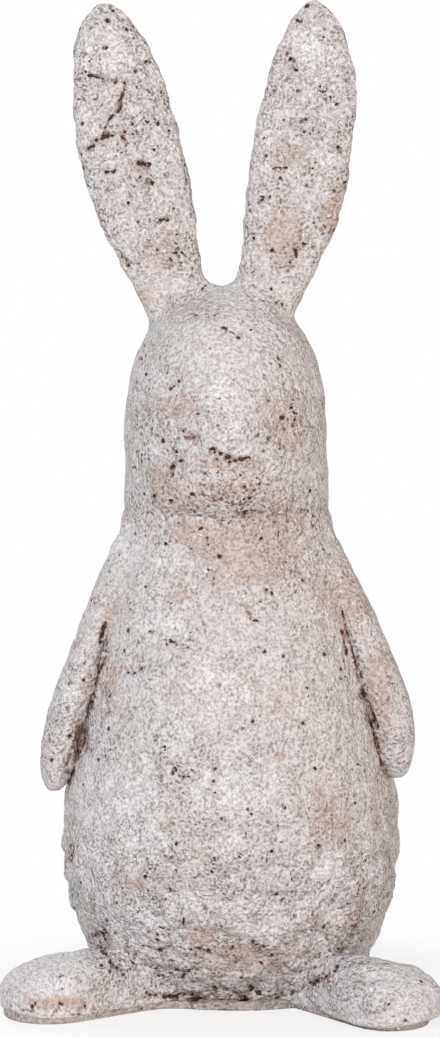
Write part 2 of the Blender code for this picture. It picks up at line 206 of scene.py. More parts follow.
def section_gap(
    side: Array, front: Array, half_side: Array, half_front: Array, power: Array | float
) -> Array:
    """How far points lie outside a superellipse, along the line from its middle.

    With Q = (|side/a|^n + |front/b|^n)^(1/n) and r the distance from the middle, the gap is
    r (1 - 1/Q), which is negative inside.

    Args:
        side: offsets along the width.
        front: offsets along the depth.
        half_side: half the width, a.
        half_front: half the depth, b.
        power: the squareness, n.

    Returns:
        The gaps.
    """
    a, b = np.maximum(half_side, 1e-3), np.maximum(half_front, 1e-3)
    q = (np.abs(side / a) ** power + np.abs(front / b) ** power) ** (1.0 / power)
    far = np.hypot(side, front)
    return far - far / np.maximum(q, 1e-6)


@dataclass(frozen=True)
class PhotoView:
    """Where the figurine was photographed from, in millimetres and in pixels of the frame."""

    height: int = 1037
    distance: float = 2000.0
    aim_height: float = 215.0
    downward: float = math.radians(7.0)
    focal: float = 4625.0
    middle_column: float = 219.5
    middle_row: float = 502.0

    @property
    def eye(self) -> Array:
        """The place of the camera.

        Returns:
            Its x, y and z in millimetres.
        """
        back = self.distance * math.cos(self.downward)
        rise = self.distance * math.sin(self.downward)
        return np.array((0.0, LINE.y - back, self.aim_height + rise))

    def pixels(self, points: Array) -> tuple[Array, Array]:
        """The columns and rows at which points show: the focal length times offset over depth.

        Args:
            points: places in millimetres.

        Returns:
            The columns and the rows.
        """
        away = points - self.eye
        sine, cosine = math.sin(self.downward), math.cos(self.downward)
        depth = away[..., 1] * cosine - away[..., 2] * sine
        rise = away[..., 1] * sine + away[..., 2] * cosine
        return (
            self.middle_column + self.focal * away[..., 0] / depth,
            self.middle_row - self.focal * rise / depth,
        )

    def facing(self, points: Array, normals: Array) -> Array:
        """How squarely a surface looks at the camera, from 0 at its edge to 1."""
        return np.clip(dot(unit(self.eye - points), normals), 0.0, 1.0)


VIEW = PhotoView()


def cell_key(order: Array, cell: Array) -> Array:
    """A number below 256 for each cell, looked up in the shuffled order axis by axis."""
    key = order[(order[cell[..., 0] & 255] + cell[..., 1]) & 255]
    return order[(key + cell[..., 2]) & 255]


class SpaceNoise:
    """Seeded gradient noise in space.

    Gradient noise alone stays within about 0.6, so gain brings it to between about -1 and 1.
    """

    gain = 1.7

    def __init__(self, seed: int) -> None:
        """Sets out the order of the cells and the slope in each, by a seed."""
        source = np.random.default_rng(seed)
        self._order = source.permutation(256)
        self._slopes = unit(source.normal(size=(256, 3)))

    def at(self, points: Array, wavelength: float | Sequence[float]) -> Array:
        """Eases together, over the eight corners of a cell, each corner's slope times the way to it.

        Args:
            points: places in millimetres.
            wavelength: the size of a cell, the same all ways or one for each axis.

        Returns:
            One value for each point.
        """
        place = points / np.asarray(wavelength)
        cell = np.floor(place).astype(int)
        part = place - cell
        ease = part**3 * (part * (part * 6.0 - 15.0) + 10.0)
        total = np.zeros(points.shape[:-1])
        for corner in np.ndindex(2, 2, 2):
            key = cell_key(self._order, cell + corner)
            weight = np.where(np.array(corner, bool), ease, 1.0 - ease).prod(-1)
            total += weight * dot(self._slopes[key], part - corner)
        return total * self.gain


class PitNoise:
    """Seeded points scattered through space, one in each cell."""

    def __init__(self, seed: int) -> None:
        """Sets out the order of the cells, and the place and lot of each point, by a seed."""
        source = np.random.default_rng(seed)
        self._order = source.permutation(256)
        self._places = source.random((256, 3))
        self._lots = source.random(256)

    def at(self, points: Array, spacing: float) -> tuple[Array, Array]:
        """Finds the nearest point among the 27 cells round each place.

        Args:
            points: places in millimetres.
            spacing: the size of a cell.

        Returns:
            The distance to the nearest point, and that point's lot from 0 to 1.
        """
        place = points / spacing
        cell = np.floor(place).astype(int)
        nearest, lot = np.full(points.shape[:-1], 9.0), np.zeros(points.shape[:-1])
        for corner in np.ndindex(3, 3, 3):
            i = cell + np.array(corner) - 1
            key = cell_key(self._order, i)
            far = np.linalg.norm(i + self._places[key] - place, axis=-1)
            closer = far < nearest
            nearest, lot = np.where(closer, far, nearest), np.where(closer, self._lots[key], lot)
        return nearest * spacing, lot


def neck_pinch(height: Array) -> Array:
    """How much the trunk and the head draw in at their joint: a bell 1.25 mm deep, 2 mm to a side."""
    return 1.25 * np.exp(-(((height - NECK) / 2.0) ** 2))


def fillet_share(t: Array) -> Array:
    """The share of its size by which a fillet fills the corner between two surfaces.

    With t the difference of their gaps over the fillet's size, it is (1 - t)² / 4 from 0 to 1 and
    nothing past 1. Below 0, on the side where the other surface is in front, it falls behind that
    one by t², and levels out, so the two meet smoothly and never lie on each other.
    """
    hidden = np.where(t > -1 / 3, 0.25 - 0.5 * t - 0.75 * t * t, 1 / 3)
    return np.where(t > 1.0, 0.0, np.where(t > 0.0, (1.0 - t) ** 2 / 4, hidden))


@dataclass
class Surface:
    """A closed grid of points with its outward normals, and how near a crease each point lies."""

    points: Array
    normals: Array
    crease: Array


def grid_normals(points: Array, origins: Array) -> Array:
    """Normals of a grid that closes along its columns: the cross product of its two differences.

    Args:
        points: the grid.
        origins: points inside the form.

    Returns:
        Unit normals that look outwards.
    """
    around = np.roll(points, -1, 1) - np.roll(points, 1, 1)
    along = np.gradient(points, axis=0)
    normals = unit(np.cross(around, along))
    return normals * np.sign(dot(normals, points - origins).mean())


def crossing(
    gap_at: SizeAt, origins: Array, directions: Array, reach: float, halvings: int
) -> tuple[Array, Array]:
    """Finds how far along each ray a gap rises through nothing, by halving.

    Args:
        gap_at: the gap at points.
        origins: where the rays start, inside the form.
        directions: their unit directions.
        reach: a distance by which every ray has left the form.
        halvings: how often the reach is halved.

    Returns:
        For each ray, the furthest distance found inside and the nearest found outside.
    """
    near, far = np.zeros(directions.shape[:-1]), np.full(directions.shape[:-1], reach)
    for _ in range(halvings):
        middle = (near + far) / 2
        inside = gap_at(origins + directions * middle[..., None]) < 0.0
        near, far = np.where(inside, middle, near), np.where(inside, far, middle)
    return near, far


@dataclass
class Casting:
    """A casting of mortar: a cast form, the neighbours that it runs into, and its finish.

    The rays from its spine end reach millimetres away, and lie front_share times closer in front.
    Creases, painted with dirt and shade, show where a neighbour is nearer than crease_width and the fillet
    is about sharp_size.
    What gap and rays take and return is the same for every kind of casting.
    """

    name: str = ""
    nodes: tuple[str, ...] = ()
    slot: str = "mortar_body"
    rows: int = 100
    columns: int = 100
    reach: float = 60.0
    roughness: float = 1.0
    front_share: float = 1.0
    box_margin: float = 24.0
    crease_width: float = 1.7
    sharp_size: float = 1.4
    sharp_spread: float = 3.6
    fillets: list[tuple["Casting", SizeAt]] = field(default_factory=list)

    def gap(self, points: Array) -> Array:
        """How far points lie outside the cast form, along a line from its spine.

        Args:
            points: places in millimetres.

        Returns:
            The gaps, below 0 inside.
        """
        raise NotImplementedError

    def rays(self) -> Rays:
        """The rays from the spine along which the surface is looked for.

        Returns:
            The origins, and the unit directions in an array of rows x columns x 3.
        """
        raise NotImplementedError

    def neighbours(self, points: Array) -> Iterator[tuple["Casting", Array, Array]]:
        """Each neighbour, which of the points lie near it, and the size of the fillet at those.

        Args:
            points: places in millimetres.

        Returns:
            These three for one neighbour after the other.
        """
        for other, size_at in self.fillets:
            low, high = other.reach_box()
            near = ((points > low) & (points < high)).all(-1)
            yield other, near, size_at(points[near])

    def filleted_gap(self, points: Array) -> Array:
        """The gap to the cast form with its fillets: each takes its size times fillet_share off.

        Args:
            points: places in millimetres.

        Returns:
            The gaps, below 0 inside.
        """
        own = self.gap(points)
        total = own.copy()
        for other, near, size in self.neighbours(points):
            total[near] -= size * fillet_share((other.gap(points[near]) - own[near]) / size)
        return total

    def reach_box(self) -> tuple[Array, Array]:
        """The CAD node's box, grown by the largest fillet and by what a hidden end needs."""
        low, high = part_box(self.nodes[0])
        return np.array(low) / MM - self.box_margin, np.array(high) / MM + self.box_margin

    def surface(self) -> Surface:
        """Finds, along each ray from the spine, where the filleted gap is nothing.

        Returns:
            The grid of those points.
        """
        origins, directions = self.rays()
        near, far = crossing(self.filleted_gap, origins, directions, self.reach, HALVINGS)
        points = origins + directions * ((near + far) / 2)[..., None]
        return Surface(points, grid_normals(points, origins), self.crease(points))

    def crease(self, points: Array) -> Array:
        """Where a neighbour comes near, from 0 to 1: most where the fillet between them is small.

        Args:
            points: places in millimetres.

        Returns:
            One value for each point.
        """
        total = np.zeros(points.shape[:-1])
        for other, near, size in self.neighbours(points):
            sharp = np.exp(-(((size - self.sharp_size) / self.sharp_spread) ** 2))
            close = np.exp(-((other.gap(points[near]) / self.crease_width) ** 2))
            total[near] = np.maximum(total[near], sharp * close)
        return total


@dataclass
class Trunk(Casting):
    """The egg-shaped trunk: level superelliptic sections up a profile."""

    height: float = 209.0
    half_width: float = 73.3
    front: float = 63.0
    back: float = 56.0
    front_share: float = 1.75
    hidden_slope: float = 1.2
    hidden_rows: int = 14
    profile: tuple[Triple, ...] = (
        (0.00, 0.710, 0.600), (0.09, 0.880, 0.820), (0.20, 0.975, 0.955),
        (0.33, 1.000, 1.000), (0.46, 0.962, 0.978), (0.63, 0.853, 0.885),
        (0.79, 0.748, 0.770), (0.91, 0.660, 0.672), (1.00, 0.605, 0.600),
    )

    def cast_sizes(self, height: Array) -> tuple[Array, Array, Array]:
        """Half width, front depth and back depth at heights, from the profile."""
        width, depth = hermite(self.profile, (height - TRUNK_BASE) / self.height)
        return self.half_width * width, self.front * depth, self.back * depth

    def sizes(self, height: Array) -> tuple[Array, Array, Array]:
        """The cast sizes, drawn in above the neck, where the trunk ends inside the head."""
        drawn = self.hidden_slope * np.maximum(height - NECK, 0.0) + neck_pinch(height)
        return tuple(np.maximum(size - drawn, 0.5) for size in self.cast_sizes(height))

    def gap(self, points: Array) -> Array:
        """The gap in the level section through each point."""
        away = points - LINE.at(points[..., 2])
        width, front, back = self.sizes(points[..., 2])
        depth = np.where(away[..., 1] < 0, front, back)
        return section_gap(away[..., 0], away[..., 1], width, depth, ELLIPSE)

    def rays(self) -> Rays:
        """Level rays from the centre line, from the flat foot to the hidden top."""
        shown = np.linspace(TRUNK_BASE - 0.5, NECK + 2.0, self.rows - self.hidden_rows)
        hidden = np.linspace(NECK + 4.0, NECK + 34.0, self.hidden_rows)
        heights = np.concatenate([shown, hidden])
        ring = outline(self.columns, self.half_width, self.front, self.back, ELLIPSE, self.front_share)
        width, front, back = (size[:, None] for size in self.sizes(heights))
        side, depth = ring[None, :, 0] * width, ring[None, :, 1]
        depth = depth * np.where(depth > 0, front, back)
        directions = side[..., None] * OUT + depth[..., None] * FORWARD
        return LINE.at(heights)[:, None, :], unit(directions)

    def skin(self, height: Array, side: Side, turn: float, standoff: Array | float) -> Array:
        """Points by the trunk's skin, turned forwards from the rabbit's side.

        Args:
            height: heights above the floor.
            side: the rabbit's side.
            turn: the angle forwards from that side, in radians.
            standoff: how far off the skin the points lie.

        Returns:
            The points.
        """
        width, front, _ = self.cast_sizes(height)
        out = ((width + standoff) * math.cos(turn))[..., None] * OUT * side.value
        return LINE.at(height) + out + ((front + standoff) * math.sin(turn))[..., None] * FORWARD


@dataclass
class Head(Casting):
    """The egg-shaped head with its long low muzzle."""

    height: float = 93.0
    half_width: float = 44.2
    front: float = 45.0
    back: float = 38.0
    widest: float = 27.0
    squareness: float = 2.4
    front_share: float = 1.75
    hidden_slope: float = 1.5
    hidden_rows: int = 12
    hidden_turns: Pair = (-84.0, -40.0)
    shown_turns: Pair = (-37.0, 89.4)
    muzzle_rise: float = 7.0
    muzzle_half_width: float = 22.0
    muzzle_half_height: float = 30.0
    muzzle_drop: float = 60.0
    # The trunk's own sizes at its top.
    neck_sizes: Triple = (73.3 * 0.605, 63.0 * 0.6, 56.0 * 0.6)

    def low_sizes(self, height: Array) -> tuple[Array, Array, Array]:
        """Sizes below the widest level: a quarter sine wave from the neck's own sizes.

        Args:
            height: heights above the floor.

        Returns:
            Half width, front depth and back depth.
        """
        above = (height - HEAD_BASE - self.widest) / self.widest
        swell = np.sin(math.pi / 2 * np.clip(1.0 + above, 0.0, 1.0))
        drawn = self.hidden_slope * np.maximum(HEAD_BASE - height, 0.0) + neck_pinch(height)
        sizes = zip(self.neck_sizes, (self.half_width, self.front, self.back))
        return tuple(np.maximum(low + (high - low) * swell - drawn, 0.5) for low, high in sizes)

    def gap(self, points: Array) -> Array:
        """The gap to a superellipsoid above the widest level, and in level sections below it."""
        away = points - LINE.at(points[..., 2])
        side, back = away[..., 0], away[..., 1]
        down = (points[..., 2] - (CROWN - self.muzzle_drop)) / self.muzzle_half_height
        muzzle = self.muzzle_rise * np.exp(-((side / self.muzzle_half_width) ** 2) - down**4)
        back = np.where(back < 0, np.minimum(back + muzzle, 0.0), back)
        width, front, rear = self.low_sizes(points[..., 2])
        low = section_gap(side, back, width, np.where(back < 0, front, rear), ELLIPSE)
        above = np.maximum(points[..., 2] - HEAD_BASE - self.widest, 0.0)
        level = np.hypot(side / self.half_width, back / np.where(back < 0, self.front, self.back))
        share = above / (self.height - self.widest)
        q = (level**self.squareness + share**self.squareness) ** (1.0 / self.squareness)
        far = np.sqrt(side**2 + back**2 + above**2)
        return np.where(above > 0, far - far / np.maximum(q, 1e-6), low)

    def rays(self) -> Rays:
        """Rays from the middle of the widest level, from steeply down to straight up."""
        hidden = np.radians(np.linspace(*self.hidden_turns, self.hidden_rows))
        shown = np.radians(np.linspace(*self.shown_turns, self.rows - self.hidden_rows))
        rise = np.concatenate([hidden, shown])[:, None]
        ring = outline(self.columns, self.half_width, self.front, self.back, ELLIPSE, self.front_share)
        depth = np.where(ring[:, 1] > 0, self.front, self.back) * ring[:, 1]
        level = unit(ring[:, :1] * self.half_width * OUT + depth[:, None] * FORWARD)
        directions = np.cos(rise)[..., None] * level[None] + np.sin(rise)[..., None] * UP
        return LINE.at(HEAD_BASE + self.widest), directions


@dataclass
class Ear(Casting):
    """An ear: a slab on a spine that is an arc of a circle, leaning back a little."""

    side: Side = Side.LEFT
    length: float = 141.0
    half_width: float = 21.6
    half_thickness: float = 9.0
    squareness: float = 2.9
    root_share: float = 0.66
    swell_start: float = 0.04
    swell_end: float = 0.46
    widest_share: float = 0.55
    tip_thinning: float = 0.35
    tip_squareness: float = 1.95
    edge_rounding: float = 0.6
    front_share: float = 1.4
    crowding: Pair = (0.55, 0.45)
    spread: float = 14.2
    set_back: float = 1.0
    seat: float = 14.0
    root_tilt: float = math.radians(20.4)
    tip_tilt: float = 0.0
    back_lean: float = math.radians(4.0)

    @property
    def rise(self) -> Array:
        """The direction in which the ear's plane rises."""
        return UP * math.cos(self.back_lean) - FORWARD * math.sin(self.back_lean)

    @property
    def front(self) -> Array:
        """The direction that the ear's face looks in."""
        return FORWARD * math.cos(self.back_lean) + UP * math.sin(self.back_lean)

    @property
    def root(self) -> Array:
        """The foot of the spine, inside the crown."""
        out = OUT * self.side.value * self.spread
        return LINE.at(CROWN - self.seat) + out - FORWARD * self.set_back

    @property
    def bend(self) -> float:
        """The curvature of the spine: its change of tilt over its length."""
        return (self.tip_tilt - self.root_tilt) / self.length

    def section(self, share: Array) -> tuple[Array, Array]:
        """Half the width and half the thickness at shares of the length.

        Args:
            share: shares of the length, from 0 at the root.

        Returns:
            The half widths and half thicknesses.
        """
        past = np.maximum(0.0, (share - self.widest_share) / (1.0 - self.widest_share))
        closing = np.maximum(0.0, 1.0 - past**self.tip_squareness) ** (1.0 / self.tip_squareness)
        swell = between(share, self.swell_start, self.swell_end)
        swell = self.root_share + (1.0 - self.root_share) * swell
        thin = 1.0 - self.tip_thinning * np.clip(share, 0.0, 1.0)
        thickness = self.half_thickness * thin * closing**self.edge_rounding
        return self.half_width * swell * closing, thickness

    def gap(self, points: Array) -> Array:
        """Finds the share of the spine's arc abreast of each point, then the gap in that section."""
        away = points - self.root
        sideways, up = dot(away, OUT) * self.side.value, dot(away, self.rise)
        left = sideways * self.bend - math.cos(self.root_tilt)
        down = up * self.bend + math.sin(self.root_tilt)
        tilt = np.arctan2(down, -left)
        across = (1.0 - np.hypot(left, down)) / self.bend
        share = (tilt - self.root_tilt) / (self.tip_tilt - self.root_tilt)
        width, thickness = self.section(share)
        past = np.maximum(0.0, -0.03 - share) + np.maximum(0.0, share - 1.0)
        gap = section_gap(across, dot(away, self.front), width, thickness, self.squareness)
        return gap + past * self.length

    def rays(self) -> Rays:
        """Rays in the sections across the spine, closer together towards the tip."""
        even = np.linspace(0.0, 1.0, self.rows)
        share = -0.02 + 1.0197 * crowded(even, *self.crowding)
        tilt = self.root_tilt + (self.tip_tilt - self.root_tilt) * share
        sideways = (math.cos(self.root_tilt) - np.cos(tilt)) / self.bend
        upwards = (np.sin(tilt) - math.sin(self.root_tilt)) / self.bend
        out = OUT * self.side.value
        spine = self.root + sideways[:, None] * out + upwards[:, None] * self.rise
        across = np.cos(tilt)[:, None] * out - np.sin(tilt)[:, None] * self.rise
        width, thickness = self.section(share)
        thick = self.half_thickness
        ring = outline(self.columns, self.half_width, thick, thick, self.squareness, self.front_share)
        side = ring[None, :, :1] * np.maximum(width, 0.05)[:, None, None]
        depth = ring[None, :, 1:] * np.maximum(thickness, 0.05)[:, None, None]
        directions = unit(side * across[:, None, :] + depth * self.front)
        return spine[:, None, :], directions


@dataclass
class Arm(Casting):
    """An arm that lies down the trunk's flank, in level sections."""

    side: Side = Side.LEFT
    trunk: Trunk | None = None
    turn: float = math.radians(14.0)
    half_width: float = 10.5
    half_depth: float = 13.5
    length: float = 104.5
    shoulder_drop: float = 13.3
    shoulder_sink: float = 2.0
    hand_standoff: float = 5.9
    lift_end: float = 0.68
    hand_curl: float = 2.8
    curl_start: float = 0.75
    shoulder_size: float = 0.8
    shoulder_end: float = 0.7
    end_squareness: float = 4.5
    inner_share: float = 0.9
    squareness: float = 2.2

    def centre(self, share: Array) -> Array:
        """The spine: by the trunk's skin, lifted off it down the arm and curled in at the hand.

        Args:
            share: shares of the length, from 0 at the shoulder.

        Returns:
            Points of the spine.
        """
        height = NECK - self.shoulder_drop - self.length * share
        lift = between(share, 0.05, self.lift_end)
        standoff = -self.shoulder_sink + (self.shoulder_sink + self.hand_standoff) * lift
        standoff = standoff - self.hand_curl * between(share, self.curl_start, 1.0)
        return self.trunk.skin(height, self.side, self.turn, standoff)

    def size(self, share: Array) -> Array:
        """The share of its full section: blunt at both ends, and slighter at the shoulder.

        Args:
            share: shares of the length, from 0 at the shoulder.

        Returns:
            Shares from 0 to 1.
        """
        closing = np.sqrt(np.maximum(0.0, 1.0 - np.abs(2.0 * share - 1.0) ** self.end_squareness))
        grown = between(share, 0.0, self.shoulder_end)
        return closing * (self.shoulder_size + (1.0 - self.shoulder_size) * grown)

    def gap(self, points: Array) -> Array:
        """The gap in the level section through each point, plus the way past either end.

        The half towards the trunk is narrower, so the crease lies where the photograph has it.
        """
        share = (NECK - self.shoulder_drop - points[..., 2]) / self.length
        held = np.clip(share, 0.001, 0.999)
        away = points - self.centre(held)
        size = self.size(held)
        inner = away[..., 0] * self.side.value < 0
        width = self.half_width * size * np.where(inner, self.inner_share, 1.0)
        gap = section_gap(away[..., 0], away[..., 1], width, self.half_depth * size, self.squareness)
        return gap + np.abs(share - held) * self.length

    def rays(self) -> Rays:
        """Level rays from the spine, closer together at both ends."""
        even = np.linspace(0.02, 0.98, self.rows)
        share = 0.35 * even + 0.65 * (1.0 - np.cos(math.pi * even)) / 2
        ring = outline(self.columns, self.half_width, self.half_depth, self.half_depth, self.squareness)
        level = ring[:, :1] * self.half_width * OUT + ring[:, 1:] * self.half_depth * FORWARD
        directions = np.broadcast_to(unit(level)[None], (self.rows, self.columns, 3))
        return self.centre(share)[:, None, :], directions


@dataclass
class Foot(Casting):
    """A flat-soled foot, in upright sections across its length."""

    side: Side = Side.LEFT
    trunk: Trunk | None = None
    turn: float = math.radians(43.5)
    half_width: float = 21.5
    narrowing: float = 0.5
    narrow_reach: float = 48.0
    height: float = 22.0
    toe_drop: float = 0.2
    standout: float = 68.0
    heel: float = 32.0
    girth_height: float = 6.0
    keel: float = 9.0
    rim: float = 0.4
    squareness: float = 2.3
    keel_squareness: float = 8.0
    top_rounding: float = 1.2
    keel_rounding: float = 0.4
    front_share: float = 1.4
    crowding: Pair = (0.45, 0.55)

    @property
    def forward(self) -> Array:
        """The level direction in which the foot points."""
        return OUT * self.side.value * math.cos(self.turn) + FORWARD * math.sin(self.turn)

    @property
    def toe(self) -> float:
        """The distance from the centre line to the tip of the toes."""
        skin = self.trunk.skin(np.array(TRUNK_BASE), self.side, self.turn, 0.0)
        return float(np.linalg.norm(skin - LINE.at(TRUNK_BASE))) + self.standout

    def wide(self, reach: Array) -> Array:
        """Half the width at distances from the centre line, before the toes round it off."""
        share = between(reach, self.narrow_reach, self.toe - self.half_width)
        return self.half_width * (1.0 - self.narrowing * (1.0 - share))

    def section(self, reach: Array) -> tuple[Array, Array, Array]:
        """Half width, height above the girth and depth below it, at distances along the foot.

        Args:
            reach: distances from the centre line.

        Returns:
            These three sizes.
        """
        past = np.clip((reach - (self.toe - self.half_width)) / self.half_width, 0.0, 1.0)
        closing = np.sqrt(1.0 - past * past)
        dropped = between(reach, self.toe - 2.0 * self.half_width, self.toe)
        top = (self.height - self.girth_height) * (1.0 - self.toe_drop * dropped)
        keel = self.keel * closing**self.keel_rounding
        return self.wide(reach) * closing, top * closing**self.top_rounding, keel

    def gap(self, points: Array) -> Array:
        """The gap in the upright section through each point, plus the way past the toes."""
        away = points - LINE.at(TRUNK_BASE + self.girth_height)
        reach, rise = dot(away, self.forward), away[..., 2]
        held = np.clip(reach, self.heel - 4.0, self.toe - 0.05)
        width, top, keel = self.section(held)
        side = dot(away, np.cross(self.forward, UP))
        power = np.where(rise > 0, self.squareness, self.keel_squareness)
        gap = section_gap(side, rise, width, np.where(rise > 0, top, keel), power)
        return gap + np.abs(reach - held)

    def rays(self) -> Rays:
        """Rays in upright sections, closer together towards the toes."""
        even = np.linspace(0.0, 0.999, self.rows)
        share = crowded(even, *self.crowding)
        reach = self.heel + (self.toe - self.heel) * share / share[-1] - 0.05
        width, top, keel = self.section(reach)
        above = self.height - self.girth_height
        sizes = self.half_width, above, self.keel
        ring = outline(self.columns, *sizes, self.squareness, self.front_share)
        side = ring[None, :, 0] * width[:, None]
        rise = ring[None, :, 1]
        rise = rise * np.where(rise > 0, top[:, None], keel[:, None])
        directions = side[..., None] * np.cross(self.forward, UP) + rise[..., None] * UP
        spine = LINE.at(TRUNK_BASE + self.girth_height) + reach[:, None] * self.forward
        return spine[:, None, :], unit(directions)

    def surface(self) -> Surface:
        """The filleted form, whose round keel runs down over the slab's edge and is cut off flat.

        Returns:
            The cut-off grid.
        """
        found = super().surface()
        found.points[..., 2] = np.maximum(found.points[..., 2], self.rim)
        return found


@dataclass
class Tail(Casting):
    """The round tail, seated against the trunk's back."""

    trunk: Trunk | None = None
    radius: float = 18.0
    height: float = 50.0
    sink: float = 5.0

    @property
    def centre(self) -> Array:
        """The middle of the ball."""
        back = float(self.trunk.cast_sizes(np.array(self.height))[2])
        return LINE.at(self.height) - FORWARD * (back - self.sink)

    def gap(self, points: Array) -> Array:
        """The distance to the middle of the ball, less its radius."""
        return np.linalg.norm(points - self.centre, axis=-1) - self.radius

    def rays(self) -> Rays:
        """Rays all round from the middle of the ball, by height and by turn."""
        rise = np.radians(np.linspace(-89.0, 89.0, self.rows))[:, None, None]
        turn = (math.tau * np.arange(self.columns) / self.columns)[None, :, None]
        level = np.cos(turn) * OUT + np.sin(turn) * FORWARD
        directions = np.cos(rise) * level + np.sin(rise) * UP
        return self.centre, directions


@dataclass
class Slab(Casting):
    """The thin base slab: the trunk's foot print with a lip, and both soles."""

    trunk: Trunk | None = None
    feet: tuple[Foot, ...] = ()
    reach: float = 160.0
    thickness: float = 4.0
    lip: float = 5.0
    sole_insets: Pair = (5.0, 1.2)
    fillet: float = 6.0
    edge: float = 1.3
    under_steps: tuple[float, ...] = (60.0, 25.0, 8.0, 3.0)
    over_steps: tuple[float, ...] = (3.0, 6.0, 12.0, 30.0, 60.0)

    def plan_gap(self, points: Array) -> Array:
        """The gap to the slab's plan: the foot print and the soles, joined by a fillet.

        Args:
            points: places in millimetres.

        Returns:
            The gaps, below 0 inside.
        """
        away = points - LINE.at(0.0)
        width, front, back = (float(s) + self.lip for s in self.trunk.cast_sizes(np.array(TRUNK_BASE)))
        depth = np.where(away[..., 1] < 0, front, back)
        gap = section_gap(away[..., 0], away[..., 1], width, depth, ELLIPSE)
        for foot, inset in zip(self.feet, self.sole_insets):
            reach = dot(away, foot.forward)
            side = dot(away, np.cross(foot.forward, UP))
            middle = foot.toe - foot.half_width
            wide = foot.wide(reach) - inset
            past = np.maximum(reach - middle, 0.0)
            sole = np.hypot(side, past) - wide + np.maximum(-reach, 0.0)
            blend = np.clip(1.0 - np.abs(gap - sole) / self.fillet, 0.0, 1.0) ** 2
            gap = np.minimum(gap, sole) - self.fillet / 4 * blend
        return gap

    def surface(self) -> Surface:
        """Finds the plan along level rays, then carries a rounded edge round it.

        The edge is a profile of steps in and up: a straight side with its two arrises rounded.

        Returns:
            The grid, with no crease on it.
        """
        turn = math.tau * np.arange(self.columns) / self.columns
        directions = np.cos(turn)[:, None] * OUT + np.sin(turn)[:, None] * FORWARD
        near, _ = crossing(self.plan_gap, LINE.at(0.0), directions, self.reach, HALVINGS + 1)
        bend = np.radians(np.linspace(0.0, 90.0, 7))
        under = np.stack([self.edge * (1.0 - np.sin(bend)), self.edge * (1.0 - np.cos(bend))], -1)
        over = np.stack([under[::-1, 0], self.thickness - under[::-1, 1]], -1)
        inner = [(step, 0.0) for step in self.under_steps]
        outer = [(step, self.thickness) for step in self.over_steps]
        steps = np.concatenate([inner, under, over, outer])
        radius = np.maximum(near[None, :] - steps[:, :1], near[None, :] * 0.08)
        points = LINE.at(0.0) + radius[..., None] * directions[None] + steps[:, 1, None, None] * UP
        normals = grid_normals(points, LINE.at(self.thickness / 2))
        return Surface(points, normals, np.zeros(points.shape[:-1]))


@dataclass(frozen=True)
class Mark:
    """A pit, with one corner, or a crack: corners and half width in pixels, and depth in mm."""

    corners: tuple[Pair, ...]
    half_width: float
    depth: float = 0.7


